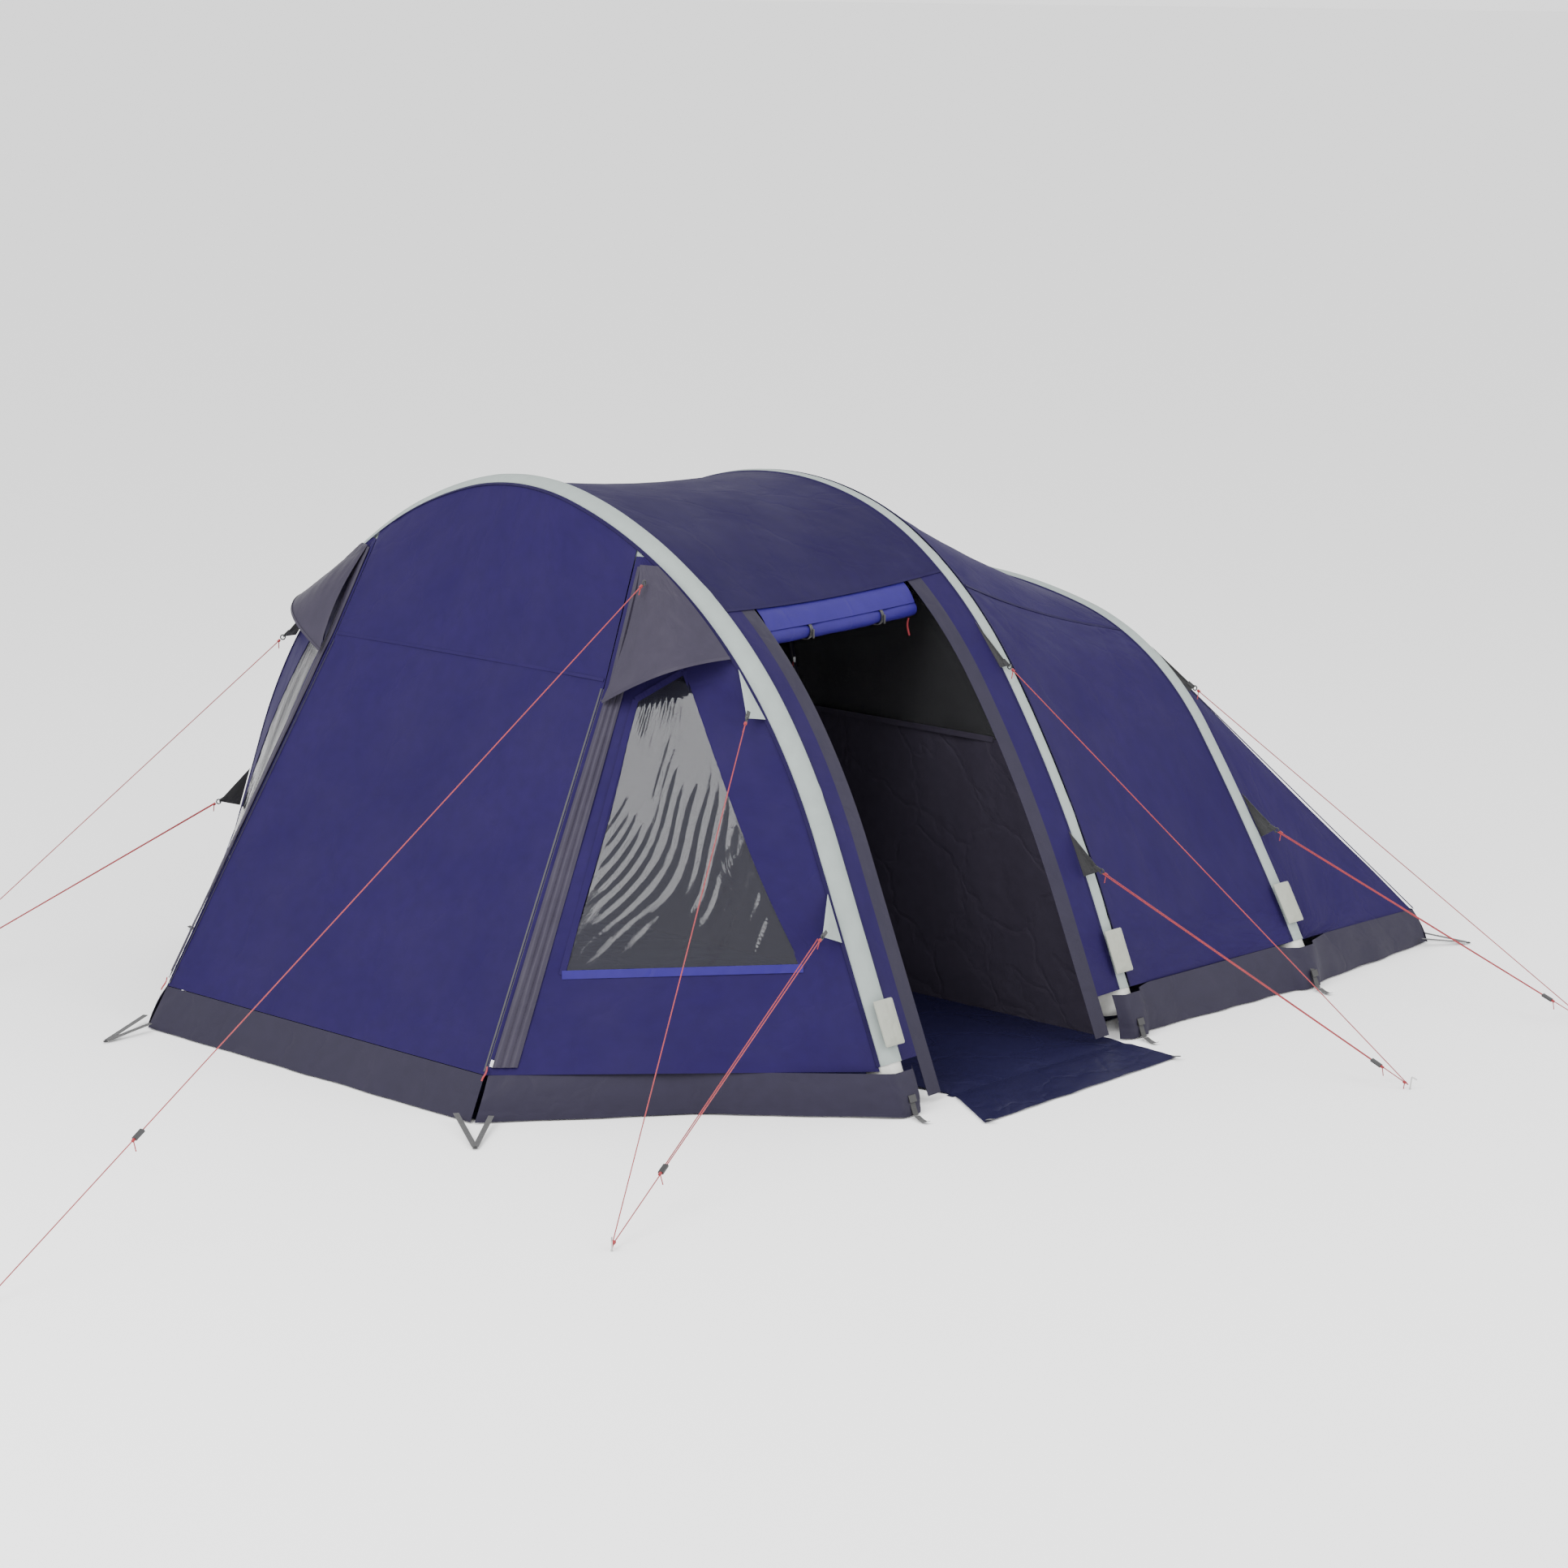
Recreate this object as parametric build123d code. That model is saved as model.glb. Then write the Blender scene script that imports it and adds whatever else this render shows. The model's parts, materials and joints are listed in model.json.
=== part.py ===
from build123d import *

import os
from math import copysign, cos, radians, sin, tan

os.makedirs("parts", exist_ok=True)

# A tunnel tent held up by three inflated arch beams, in millimetres. X runs across the tent, with the
# side door at +X. Y runs along it, with the porch at -Y. Z is up, and the ground is z = 0. The origin
# is on the ground, midway between the front and the rear hems.

# ---------------------------------------------------------------- driving dimensions
FRONT, MIDDLE, REAR = 0, 1, 2
NAMES = ("front", "middle", "rear")
BEAM_Y = (-1105, 255, 1300)
CROWN_Z = (1980, 1880, 1415)
ARC_RADII = ((1030, 1770, 1700, 2090), (1365, 1170, 1580, 4650), (2600, 1015, 1045, 9000))
ARC_TURNS = ((15, 20, 20, 12), (15, 20, 20, 12), (15, 20, 20, 5))
BLADDER_R, BLADDER_WALL = 64, 2
SLEEVE_R, SLEEVE_WALL = 68, 2.5
SEAM_GAP = 4
SEAM_ANGLES = {-1: (59, 32, 33), 1: (59, 32, 62)}

CLOTH = 2.5
GROUND = 2.5
HEM_Z = 150
FLY_SAG = 30
CORNER_X, CORNER_Y = 890, 2235
REAR_CORNER_X = 1765

ROOF_STATION = 2.2
REAR_ROOF_STATIONS = (2.35, 1.6)
HIP_STATION = 2.3
DOOR_STATIONS = (-1.85, 1.6)
FOLD_X, FOLD_Y, FOLD_Z = (-760, 700), -1400, 1400
JAMB_EDGES = (0.07, 0.13, 0.85, 0.91)

INNER_Y = 150
INNER_OUT = -78
MESH_Z = 1050
TRAY_X, TRAY_REAR_Y, TRAY_HEIGHT = 1600, 2030, 120

CORD_R = 2
RING_R, RING_WIRE_R = 9, 2.5
PEG_HOLE_R = 6.5
UPPER_TAB_Z, LOWER_TAB_Z = 1390, 655
TAB_REACH, TAB_ROOT = 100, 80
RUNNER = (42, 20, 11)
RUNNER_SLOT = (13, 6.5)
PEG_HEIGHT, PEG_R = 45, 2.5
STRAP_WIDTH = 25


# ---------------------------------------------------------------- the arches
def spread(start, stop, count):
    """Evenly spaced numbers, both ends included."""
    return [start + (stop - start) * step / (count - 1) for step in range(count)]


def arch_point(beam, station, out=0.0, ahead=0.0):
    """A point beside a beam. Stations 0 to 4 count the half arch's tangent arcs down from the crown,
    4 to 5 its straight leg down to the hem, and 5 to 6 the leg's last stretch to the ground. A
    negative station is on the left. The point is stepped outwards from the arch, and ahead along Y."""
    side, station = copysign(1, station), abs(station)
    x, z, turn = 0.0, CROWN_Z[beam], 0.0
    for arc, (radius, arc_turn) in enumerate(zip(ARC_RADII[beam], ARC_TURNS[beam])):
        end = turn + radians(arc_turn) * min(max(station - arc, 0), 1)
        x += radius * (sin(end) - sin(turn))
        z += radius * (cos(end) - cos(turn))
        turn = end
    drop = (z - HEM_Z) * min(max(station - 4, 0), 1) + HEM_Z * max(station - 5, 0)
    x += drop / tan(turn) if drop else 0
    return Vector(side * (x + out * sin(turn)), BEAM_Y[beam] + ahead, z - drop + out * cos(turn))


def outward(beam, station):
    """The direction straight out of an arch."""
    return arch_point(beam, station, 1) - arch_point(beam, station)


def seam(beam, facing, station):
    """A point of the seam that joins the fly to a beam's sleeve, on its front (-1) or back (+1)."""
    reach = SLEEVE_R + SEAM_GAP
    angle = radians(SEAM_ANGLES[facing][beam])
    return arch_point(beam, station, reach * cos(angle), facing * reach * sin(angle))


def seam_at(beam, facing, height, side=1):
    """The seam's point at a height above the ground."""
    low, high = 0.0, 6.0
    while high - low > 1e-4:
        middle = (low + high) / 2
        low, high = (middle, high) if seam(beam, facing, middle).Z > height else (low, middle)
    return seam(beam, facing, side * low)


def arch_tube(beam, radius, wall, foot):
    """A tube that follows one beam from foot station to foot station."""
    edges = []
    for side in (-1, 1):
        for arc in range(4):
            ends = [arch_point(beam, side * (arc + part)) for part in (0.0, 0.5, 1.0)]
            edges.append(Edge.make_three_point_arc(*ends))
        edges.append(Edge.make_line(arch_point(beam, side * 4), arch_point(beam, side * foot)))
    path = Wire(edges)
    start = arch_point(beam, -foot)
    section = Plane(origin=start, z_dir=arch_point(beam, -4) - start) * (Circle(radius) - Circle(radius - wall))
    return sweep(section, path)


# ---------------------------------------------------------------- cloth and straps
def cloth(rows, thickness=CLOTH):
    """A closed sheet of cloth with its face on rows of points and its back a thickness behind."""
    last_row, last_column = len(rows) - 1, len(rows[0]) - 1

    def behind(row, column):
        along = rows[row][min(column + 1, last_column)] - rows[row][max(column - 1, 0)]
        across = rows[min(row + 1, last_row)][column] - rows[max(row - 1, 0)][column]
        return rows[row][column] - along.cross(across).normalized() * thickness

    backs = [[behind(row, column) for column in range(last_column + 1)] for row in range(last_row + 1)]
    faces = []

    def close(a, b, c, d):
        faces.append(Face(Wire.make_polygon([a, b, c])))
        faces.append(Face(Wire.make_polygon([a, c, d])))

    for row in range(last_row):
        for column in range(last_column):
            for skin in (rows, backs):
                close(skin[row][column], skin[row][column + 1], skin[row + 1][column + 1], skin[row + 1][column])
        for edge in (0, last_column):
            close(rows[row][edge], rows[row + 1][edge], backs[row + 1][edge], backs[row][edge])
    for column in range(last_column):
        for edge in (0, last_row):
            close(rows[edge][column], rows[edge][column + 1], backs[edge][column + 1], backs[edge][column])
    return Solid(Shell(faces))


def flipped(rows):
    """The same rows with the face on the other side."""
    return [row[::-1] for row in rows]


def strap(start, end, width=STRAP_WIDTH, thickness=2.0, lift=Vector(0, 0, 1)):
    """A flat strap from one point to another, lying square to the lift direction."""
    half = (end - start).cross(lift).normalized() * (width / 2)
    return cloth([[start - half, start + half], [end - half, end + half]], thickness)


def both_sides(shape):
    """A right-hand solid and its mirror image."""
    return [shape, mirror(shape, about=Plane.YZ)]


def bay(first, second, first_stations, second_stations, start=0.0, stop=1.0, count=5):
    """Rows of points of the fly between two beams, sagging a little halfway."""
    rows = []
    for part in spread(start, stop, count):
        row = []
        for near, far in zip(first_stations, second_stations):
            here, there = seam(first, 1, near), seam(second, -1, far)
            dip = outward(first, near) * (4 * part * (1 - part) * FLY_SAG)
            row.append(here + (there - here) * part - dip)
        rows.append(row)
    return rows


# ---------------------------------------------------------------- the fly
EDGE = 0.004
wall_stations = spread(ROOF_STATION + EDGE, 4, 8) + [5]
jamb_stations = spread(ROOF_STATION + EDGE, 4, 8) + [5, 5.9]
rear_roof = [spread(-station, station, 19) for station in REAR_ROOF_STATIONS]
rear_walls = [spread(station + EDGE, 4, 8) + [5] for station in REAR_ROOF_STATIONS]
roof_stations = spread(-ROOF_STATION, ROOF_STATION, 19)

roof_front = cloth(bay(FRONT, MIDDLE, roof_stations, roof_stations))
roof_rear = cloth(bay(MIDDLE, REAR, *rear_roof))
wall_front_left = mirror(cloth(bay(FRONT, MIDDLE, wall_stations, wall_stations)), about=Plane.YZ)
wall_rear_right = cloth(bay(MIDDLE, REAR, *rear_walls))
wall_rear_left = mirror(wall_rear_right, about=Plane.YZ)

strip_ends = [(0.0, JAMB_EDGES[0] - EDGE), (JAMB_EDGES[3] + EDGE, 1.0)]
jamb_ends = [JAMB_EDGES[:2], JAMB_EDGES[2:]]
doorway_strips = [
    cloth(bay(FRONT, MIDDLE, wall_stations, wall_stations, *ends, 2)) for ends in strip_ends
]
doorway_jambs = [
    cloth(bay(FRONT, MIDDLE, jamb_stations, jamb_stations, *ends, 2)) for ends in jamb_ends
]


def rear_point(station, part, inset=0.0):
    """A point of the rear slope: part 0 is on the rear beam's back seam, and part 1 on the hem."""
    side, station = copysign(1, station), abs(station)
    top = seam(REAR, 1, station) - outward(REAR, station) * inset
    foot = seam(REAR, 1, 5)
    corner = Vector(REAR_CORNER_X - 30, CORNER_Y - 75, HEM_Z)
    if station <= HIP_STATION:
        low = Vector(corner.X * station / HIP_STATION, corner.Y, HEM_Z)
    else:
        low = corner + (foot - corner) * ((station - HIP_STATION) / (5 - HIP_STATION))
    low -= Vector(inset * low.X / corner.X, inset, 0)
    point = top + (low - top) * part
    return Vector(side * point.X, point.Y, point.Z)


rear_stations = spread(-4, 4, 25)
rear_stations = [-4.9] + rear_stations + [4.9]
rear_slope = cloth([[rear_point(station, part) for station in rear_stations] for part in spread(0, 1, 5)])


# ---------------------------------------------------------------- the porch
def corner_point(side, height):
    """A point of the porch's front corner, from the beam down over the door's fold to the ground."""
    right = side > 0
    top = seam(FRONT, -1, DOOR_STATIONS[right])
    fold = Vector(FOLD_X[right], FOLD_Y, FOLD_Z)
    ground = Vector(side * CORNER_X, -CORNER_Y, 0)
    high, low = (top, fold) if height > FOLD_Z else (fold, ground)
    return high + (low - high) * ((high.Z - height) / (high.Z - low.Z))


def porch_point(side, height, part):
    """A point of a porch side wall, from the corner (part 0) to the front beam's seam (part 1)."""
    start = corner_point(side, height)
    end = seam_at(FRONT, -1, height, side)
    return start + (end - start) * part


def porch_out(side):
    """The direction straight out of a porch side wall."""
    low, high = porch_point(side, 400, 0), porch_point(side, 1300, 0.5)
    return (porch_point(side, 400, 1) - low).cross(high - low).normalized() * side


PORCH_TOP = {side: seam(FRONT, -1, DOOR_STATIONS[side > 0]).Z - 25 for side in (1, -1)}
WINDOW = (((1351, 0.22), (1455, 0.57)), ((463, 0.136), (490, 0.86)))
COVER_WIDTH = 60


def porch_rows(side, heights, parts):
    """Rows of points of a porch side wall, facing outwards."""
    rows = [[porch_point(side, height, part) for part in parts] for height in heights]
    return flipped(rows) if side > 0 else rows


def window_block(side, inset):
    """The block that a porch window is cut with, drawn in from its edges."""
    corners = [porch_point(side, *WINDOW[row][edge]) for row, edge in ((0, 0), (0, 1), (1, 1), (1, 0))]
    facing = Plane(origin=sum(corners, Vector(0, 0, 0)) / 4, z_dir=porch_out(side))
    outline = [facing.to_local_coords(corner) for corner in corners]
    shape = make_face(Polyline(*[(point.X, point.Y) for point in outline], close=True))
    return facing * extrude(offset(shape, -inset), 60, both=True)


def zip_cover(side):
    """The pleated strip that covers a door zip, standing off the side wall beside the corner."""
    rows = []
    for height in (PORCH_TOP[side] - 40, 1600, FOLD_Z, 900, 175):
        width = (seam_at(FRONT, -1, height, side) - corner_point(side, height)).length
        wide = min(COVER_WIDTH, 0.7 * width) / width
        lift = porch_out(side) * 9
        rows.append([porch_point(side, height, part) + lift for part in (18 / width, wide + 18 / width)])
    return cloth(flipped(rows) if side > 0 else rows)


def window_hood(side):
    """The hood over a porch window: fixed along the corner and the beam, and standing out between."""
    rows = []
    for fall in spread(0, 1, 6):
        high = PORCH_TOP[side] - 30
        left = corner_point(side, high + (1330 - high) * fall)
        right = seam_at(FRONT, -1, high + (1506 - high) * fall, side)
        start, stop = 0.02 + 0.22 * (1 - fall), 0.97
        row = []
        for part in spread(start, stop, 7):
            bulge = 16 + 125 * fall * sin(part * 3.14159)
            row.append(left + (right - left) * part + porch_out(side) * bulge)
        rows.append(row)
    return cloth(flipped(rows) if side > 0 else rows)


porch_walls, porch_windows, window_hoods, zip_covers = {}, [], [], []
for side in (1, -1):
    heights = spread(PORCH_TOP[side], FOLD_Z, 6) + spread(1250, HEM_Z, 9)
    wall = cloth(porch_rows(side, heights, spread(0.006, 1, 3)))
    porch_windows.append(wall & window_block(side, 3))
    porch_walls[side] = wall - window_block(side, 1)
    window_hoods.append(window_hood(side))
    zip_covers.append(zip_cover(side))

door_stations = spread(DOOR_STATIONS[0] + 0.01, DOOR_STATIONS[1] - 0.01, 16)
fold_line = [Vector(x, FOLD_Y, FOLD_Z + 2) for x in spread(FOLD_X[0] + 4, FOLD_X[1] - 4, 16)]
door_top = [seam(FRONT, -1, station) for station in door_stations]
front_door_upper = cloth(
    [[high + (low - high) * part for high, low in zip(door_top, fold_line)] for part in spread(0, 1, 4)]
)


def door_row(height):
    """A level row of the front door's lower part."""
    left, right = corner_point(-1, height) + Vector(4, 0, 0), corner_point(1, height) - Vector(4, 0, 0)
    return [left + (right - left) * part for part in spread(0, 1, 3)]


front_door_lower = cloth([door_row(height) for height in (FOLD_Z - 2, 800, HEM_Z)])
front_door_skirt = cloth([door_row(HEM_Z - 1), door_row(GROUND)])


def door_zip(side):
    """A zip's tape, behind the gap between the front door and the side wall."""
    rows = []
    for height in (FOLD_Z - 20, 160):
        inner = porch_point(side, height, 0) - porch_out(side) * 9 + Vector(0, 9, 0)
        rows.append([inner - Vector(side * 14, 0, 0), inner + Vector(side * 6, 8, 0)])
    return cloth(flipped(rows) if side > 0 else rows, 2)


def zip_slider(point, along, out, size=(12, 26, 6)):
    """A zip's metal slider with a nose rounded at its corners."""
    body = Plane(origin=point, z_dir=out, x_dir=along.cross(out)) * Box(*size)
    return fillet(body.edges().filter_by(GeomType.LINE), 2.0)


front_door_zips = [door_zip(side) for side in (1, -1)]
corner_rise = {side: (corner_point(side, 1300) - corner_point(side, 200)).normalized() for side in (1, -1)}
front_sliders = {}
for side in (1, -1):
    place = porch_point(side, 185, 0) + porch_out(side) * 8.5 + Vector(side * 7.5, 7.5, 0)
    front_sliders[side] = zip_slider(place, corner_rise[side], porch_out(side))

# ---------------------------------------------------------------- skirts at the ground
SKIRT_OUT = 12


def skirt(top, bottom):
    """A skirt between two runs of plan points, at hem height and at the ground."""
    rows = [[Vector(x, y, HEM_Z - 4) for x, y in top], [Vector(x, y, GROUND) for x, y in bottom]]
    return cloth(rows)


def foot_bulge(beam, reach):
    """Plan points that carry a skirt round the outside of a beam's foot."""
    x = arch_point(beam, 5).X + 92 + (reach and 45)
    return [(x - 34, BEAM_Y[beam] - 82), (x, BEAM_Y[beam] - 45), (x, BEAM_Y[beam] + 45), (x - 34, BEAM_Y[beam] + 82)]


def behind_foot(reach):
    """The plan point where the left side's skirt starts, just behind the front beam's foot."""
    x, y = foot_bulge(FRONT, reach)[3]
    return (x - 4, y + 12)


hem_front = corner_point(1, HEM_Z)
porch_top = [(hem_front.X + 6, hem_front.Y + 6), (1300, -1655)] + foot_bulge(FRONT, 0)
porch_bottom = [(CORNER_X + 10, -CORNER_Y + 8), (1350, -1630)] + foot_bulge(FRONT, 1)
porch_skirt = skirt(porch_top, porch_bottom)
hem_rear = rear_point(HIP_STATION, 1)
rear_top = foot_bulge(MIDDLE, 0) + foot_bulge(REAR, 0) + [(hem_rear.X, hem_rear.Y - 4)]
rear_bottom = foot_bulge(MIDDLE, 1) + foot_bulge(REAR, 1) + [(REAR_CORNER_X, CORNER_Y - 4)]
side_skirt_right = skirt(rear_top, rear_bottom)
side_skirt_left = mirror(
    skirt([behind_foot(0)] + rear_top, [behind_foot(1)] + rear_bottom), about=Plane.YZ
)
skirt_rear = skirt(
    [(hem_rear.X - 4, hem_rear.Y), (-hem_rear.X + 4, hem_rear.Y)],
    [(REAR_CORNER_X - 4, CORNER_Y), (4 - REAR_CORNER_X, CORNER_Y)],
)

# ---------------------------------------------------------------- floors and the inner tent
SHEET = 2.0
SILL_X = 1838
half_floor = [(860, -2195), (1690, -1215), (1690, -850), (SILL_X, -820), (SILL_X, 150), (1640, 145)]
floor_outline = half_floor + [(-1640, 145), (-1690, -1215), (-860, -2195)]
groundsheet = extrude(make_face(Polyline(*floor_outline, close=True)), SHEET)
flap_outline = [(SILL_X + 2, -815), (SILL_X + 2, 145), (2105, 125), (2145, -1005)]
threshold_flap = extrude(make_face(Polyline(*flap_outline, close=True)), SHEET)


def inner_outline(low, high):
    """The inner tent's front wall between two heights, drawn in the plane of the wall."""
    stations = [station for station in spread(0, 4, 17) + [5, 5.85]]
    points = [arch_point(MIDDLE, station, INNER_OUT / 2) for station in stations]
    points = [(point.X, point.Z) for point in points]
    outline = points[::-1] + [(-x, z) for x, z in points[1:]]
    wall = make_face(Polyline(*outline, close=True))
    band = Pos(0, (low + high) / 2) * Rectangle(4 * SILL_X, high - low)
    return Plane(origin=(0, INNER_Y, 0), x_dir=(1, 0, 0), z_dir=(0, -1, 0)) * (wall & band)


inner_wall = extrude(inner_outline(0, MESH_Z - 1), -SHEET)
inner_mesh = extrude(inner_outline(MESH_Z + 1, 3000), -SHEET)

canopy_stations = [-5] + spread(-4, 4, 25) + [5]
canopy_rows = [
    [arch_point(MIDDLE, station, INNER_OUT, INNER_Y + 8 - BEAM_Y[MIDDLE]) for station in canopy_stations],
    [arch_point(MIDDLE, station, INNER_OUT, 90) for station in canopy_stations],
    [arch_point(REAR, station, INNER_OUT - 10, -60) for station in canopy_stations],
    [rear_point(station, 0.04, 150) for station in canopy_stations],
    [rear_point(station, 0.98, 150) for station in canopy_stations],
]
inner_canopy = cloth(canopy_rows)

tray_length = TRAY_REAR_Y - INNER_Y - 15
tray_plan = Rectangle(2 * TRAY_X, tray_length)
tray = extrude(tray_plan, TRAY_HEIGHT) - Pos(0, 0, SHEET) * extrude(offset(tray_plan, -SHEET), TRAY_HEIGHT)
inner_floor = Pos(0, (TRAY_REAR_Y + INNER_Y + 15) / 2, 0.5) * tray

inner_slider = zip_slider(Vector(172, INNER_Y - 5, 1230), Vector(0, 0, 1), Vector(0, -1, 0), (10, 22, 5))

# ---------------------------------------------------------------- the rolled side door
ROLL_R = 36
roll_edge = bay(FRONT, MIDDLE, [2.36], [2.36], 0.14, 0.84, 2)
roll_ends = [row[0] - outward(FRONT, 2.36) * (ROLL_R + 22) for row in roll_edge]
roll_along = roll_ends[1] - roll_ends[0]


def roll_plane(part):
    """The plane square to the rolled door at a part of its length."""
    return Plane(origin=roll_ends[0] + roll_along * part, z_dir=roll_along)


side_door_roll = extrude(roll_plane(0) * Circle(ROLL_R), roll_along.length)
roll_ties = []
for part in (0.28, 0.76):
    band = extrude(roll_plane(part) * (Circle(ROLL_R + 3.5) - Circle(ROLL_R + 1)), 10)
    toggle = roll_plane(part) * Pos(ROLL_R + 8, 0, 5) * Rot(90, 0, 0) * Cylinder(4, 30)
    roll_ties.append(band + toggle)

# ---------------------------------------------------------------- beams, valves and their flaps
VALVE_Z = 285
beams = [arch_tube(beam, BLADDER_R, BLADDER_WALL, 5.55) for beam in range(3)]
sleeves = [arch_tube(beam, SLEEVE_R, SLEEVE_WALL, 5) for beam in range(3)]
for beam in range(3):
    for side in (-1, 1):
        end = arch_point(beam, side * 5.55)
        along = (end - arch_point(beam, side * 5)).normalized()
        beams[beam] += extrude(Plane(origin=end, z_dir=along) * Circle(BLADDER_R), BLADDER_WALL)


def leg_frame(beam, height, out):
    """A plane on the right leg of a beam: its z points out of the leg, and its x up the leg."""
    top, foot = arch_point(beam, 4), arch_point(beam, 5)
    leg = top + (foot - top) * ((top.Z - height) / (top.Z - foot.Z))
    return Plane(origin=leg + outward(beam, 4.5) * out, x_dir=top - foot, z_dir=outward(beam, 4.5))


def valve_cap():
    """A screw cap with a fluted rim."""
    cap = Pos(0, 0, 4) * Cylinder(15, 8)
    flutes = [Rot(0, 0, turn) * Pos(15.4, 0, 4) * Cylinder(1.4, 9) for turn in range(0, 360, 30)]
    return cap - flutes


FLAP_SIZE = (165, 96)
FLAP_STAND = 21
valves, valve_caps, valve_flaps, flap_hinges = [], [], [], []
for beam in range(3):
    base = leg_frame(beam, VALVE_Z, SLEEVE_R + 0.3)
    valves.append(base * (Pos(0, 0, 1.5) * Cylinder(20, 3) + Pos(0, 0, 5) * Cylinder(11, 5)))
    valve_caps.append(base * Pos(0, 0, 7.8) * valve_cap())
    cover = extrude(RectangleRounded(*FLAP_SIZE, 14), 3)
    valve_flaps.append(base * Pos(-8, 0, FLAP_STAND) * cover)
    flap_hinges.append(base * Pos(FLAP_SIZE[0] / 2 - 8, 0, FLAP_STAND + 1.5))

# ---------------------------------------------------------------- straps and eyelets at the ground
foot_straps, strap_buckles = [], []
for beam in range(3):
    x, y = foot_bulge(beam, 1)[1][0] + SKIRT_OUT, BEAM_Y[beam]
    top, low = Vector(x - 38, y, 108), Vector(x + 4, y, 10)
    tail_start, tail_end = Vector(x + 10, y - 15, 4), Vector(x + 95, y - 42, 4)
    lean = (top - low).cross(Vector(0, 1, 0))
    buckle = Plane(origin=top + (low - top) * 0.5, z_dir=lean, x_dir=(0, 1, 0)) * Pos(0, 0, -5) * Box(36, 26, 6)
    foot_straps += both_sides(strap(top, low, lift=lean)) + both_sides(strap(tail_start, tail_end))
    strap_buckles += both_sides(fillet(buckle.edges().filter_by(Axis.Y), 2))

CORNER_PEGS = ((1120, -2425), (-835, -2465), (1895, 2335), (-1895, 2335))
corner_straps, corner_rings = [], []
for x, y in CORNER_PEGS:
    skirt_x = copysign(CORNER_X if y < 0 else REAR_CORNER_X, x)
    skirt_y = copysign(CORNER_Y, y)
    tip = Vector(x, y, 5)
    towards = (Vector(skirt_x, skirt_y, 5) - tip).normalized()
    for run in ((-52, -20), (58, 42)) if y < 0 else ((20, -70), (-70, 20)):
        root = Vector(skirt_x + copysign(run[0], run[0] * x), skirt_y + run[1], 32)
        corner_straps.append(strap(tip + (root - tip).normalized() * 16, root, 20))
    corner_rings.append(Pos(tip) * extrude(Circle(RING_R) - Circle(PEG_HOLE_R), 2, both=True))

# ---------------------------------------------------------------- guy lines
PEGS = {
    (FRONT, 1): (2203, -2848),
    (MIDDLE, 1): (2936, 379),
    (REAR, 1): (2946, 1557),
    (FRONT, -1): (-2086, -2423),
    (MIDDLE, -1): (-2936, 379),
    (REAR, -1): (-2946, 1557),
}
RUNNER_PART = {FRONT: 0.77, MIDDLE: 0.90, REAR: 0.87}
PORCH_PEG = (1241, -4478)
PORCH_RUNNER_PART = 0.80
KNOT_Z = 14


def tube(start, end, radius=CORD_R):
    """A straight round cord."""
    return extrude(Plane(origin=start, z_dir=end - start) * Circle(radius), (end - start).length)


def peg(x, y, towards):
    """The part of a hooked peg that stands above the ground, leaning away from the pull."""
    lean = Vector(towards.X, towards.Y, 0).normalized()
    foot = Vector(x, y, 0) - lean * 8
    head = foot - lean * 6 + Vector(0, 0, PEG_HEIGHT)
    base = Pos(foot + Vector(0, 0, 1.5)) * Cylinder(PEG_R + 1.5, 3)
    return base + tube(foot + Vector(0, 0, 1), head, PEG_R) + tube(head, head - lean * 22 + Vector(0, 0, -6), PEG_R)


def ring(centre, along):
    """A webbing loop's ring, in the plane of its line."""
    return Plane(origin=centre, z_dir=along.cross(Vector(0, 0, 1)).cross(along).cross(along)) * Torus(RING_R, RING_WIRE_R)


def runner(start, end, part):
    """A line's runner: a flat block with a slot that its two strands pass through."""
    along = (end - start).normalized()
    place = Plane(origin=start + (end - start) * part, z_dir=along, x_dir=along.cross(Vector(0, 0, 1)))
    length, width, height = RUNNER
    block = extrude(place * RectangleRounded(width, height, 4), length / 2, both=True)
    return block - extrude(place * SlotOverall(*RUNNER_SLOT), length, both=True)


guy_tabs, guy_rings, pegs = [], [], []
guylines = {1: [], -1: []}
runners = {}
for (beam, side), (x, y) in PEGS.items():
    facing = 1 if beam == REAR else -1
    knot = Vector(x, y, KNOT_Z)
    for height in (UPPER_TAB_Z, LOWER_TAB_Z) if beam != REAR else (1150, 620):
        root = seam_at(beam, facing, height, side)
        above, below = (seam_at(beam, facing, height + step, side) for step in (TAB_ROOT, -TAB_ROOT))
        pull = (knot - root).normalized()
        clear = outward(beam, side * 3) * 6 + Vector(0, facing * 6, 0)
        tip = root + clear + pull * TAB_REACH
        half = (above - below).normalized() * 10
        guy_tabs.append(cloth([[above + clear, below + clear], [tip + half, tip - half]], 2))
        centre = tip + pull * (RING_R + RING_WIRE_R + 10)
        guy_rings.append(ring(centre, pull))
        start = centre + pull * (RING_R + RING_WIRE_R + 1.5)
        guylines[side].append(tube(start, knot))
        if height in (LOWER_TAB_Z, 620):
            aside = pull.cross(Vector(0, 0, 1)).normalized()
            meet = start + (knot - start) * RUNNER_PART[beam]
            guylines[side].append(tube(start + aside * 11, meet + aside * 5.5 + pull * 14))
            name = f"runner_{NAMES[beam]}_{'right' if side > 0 else 'left'}"
            runners[name] = (start + aside * 3, knot + aside * 2, RUNNER_PART[beam])
    pegs.append(peg(x, y, Vector(-side, 0, 0) if beam != FRONT else Vector(-side, 1, 0)))

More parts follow.
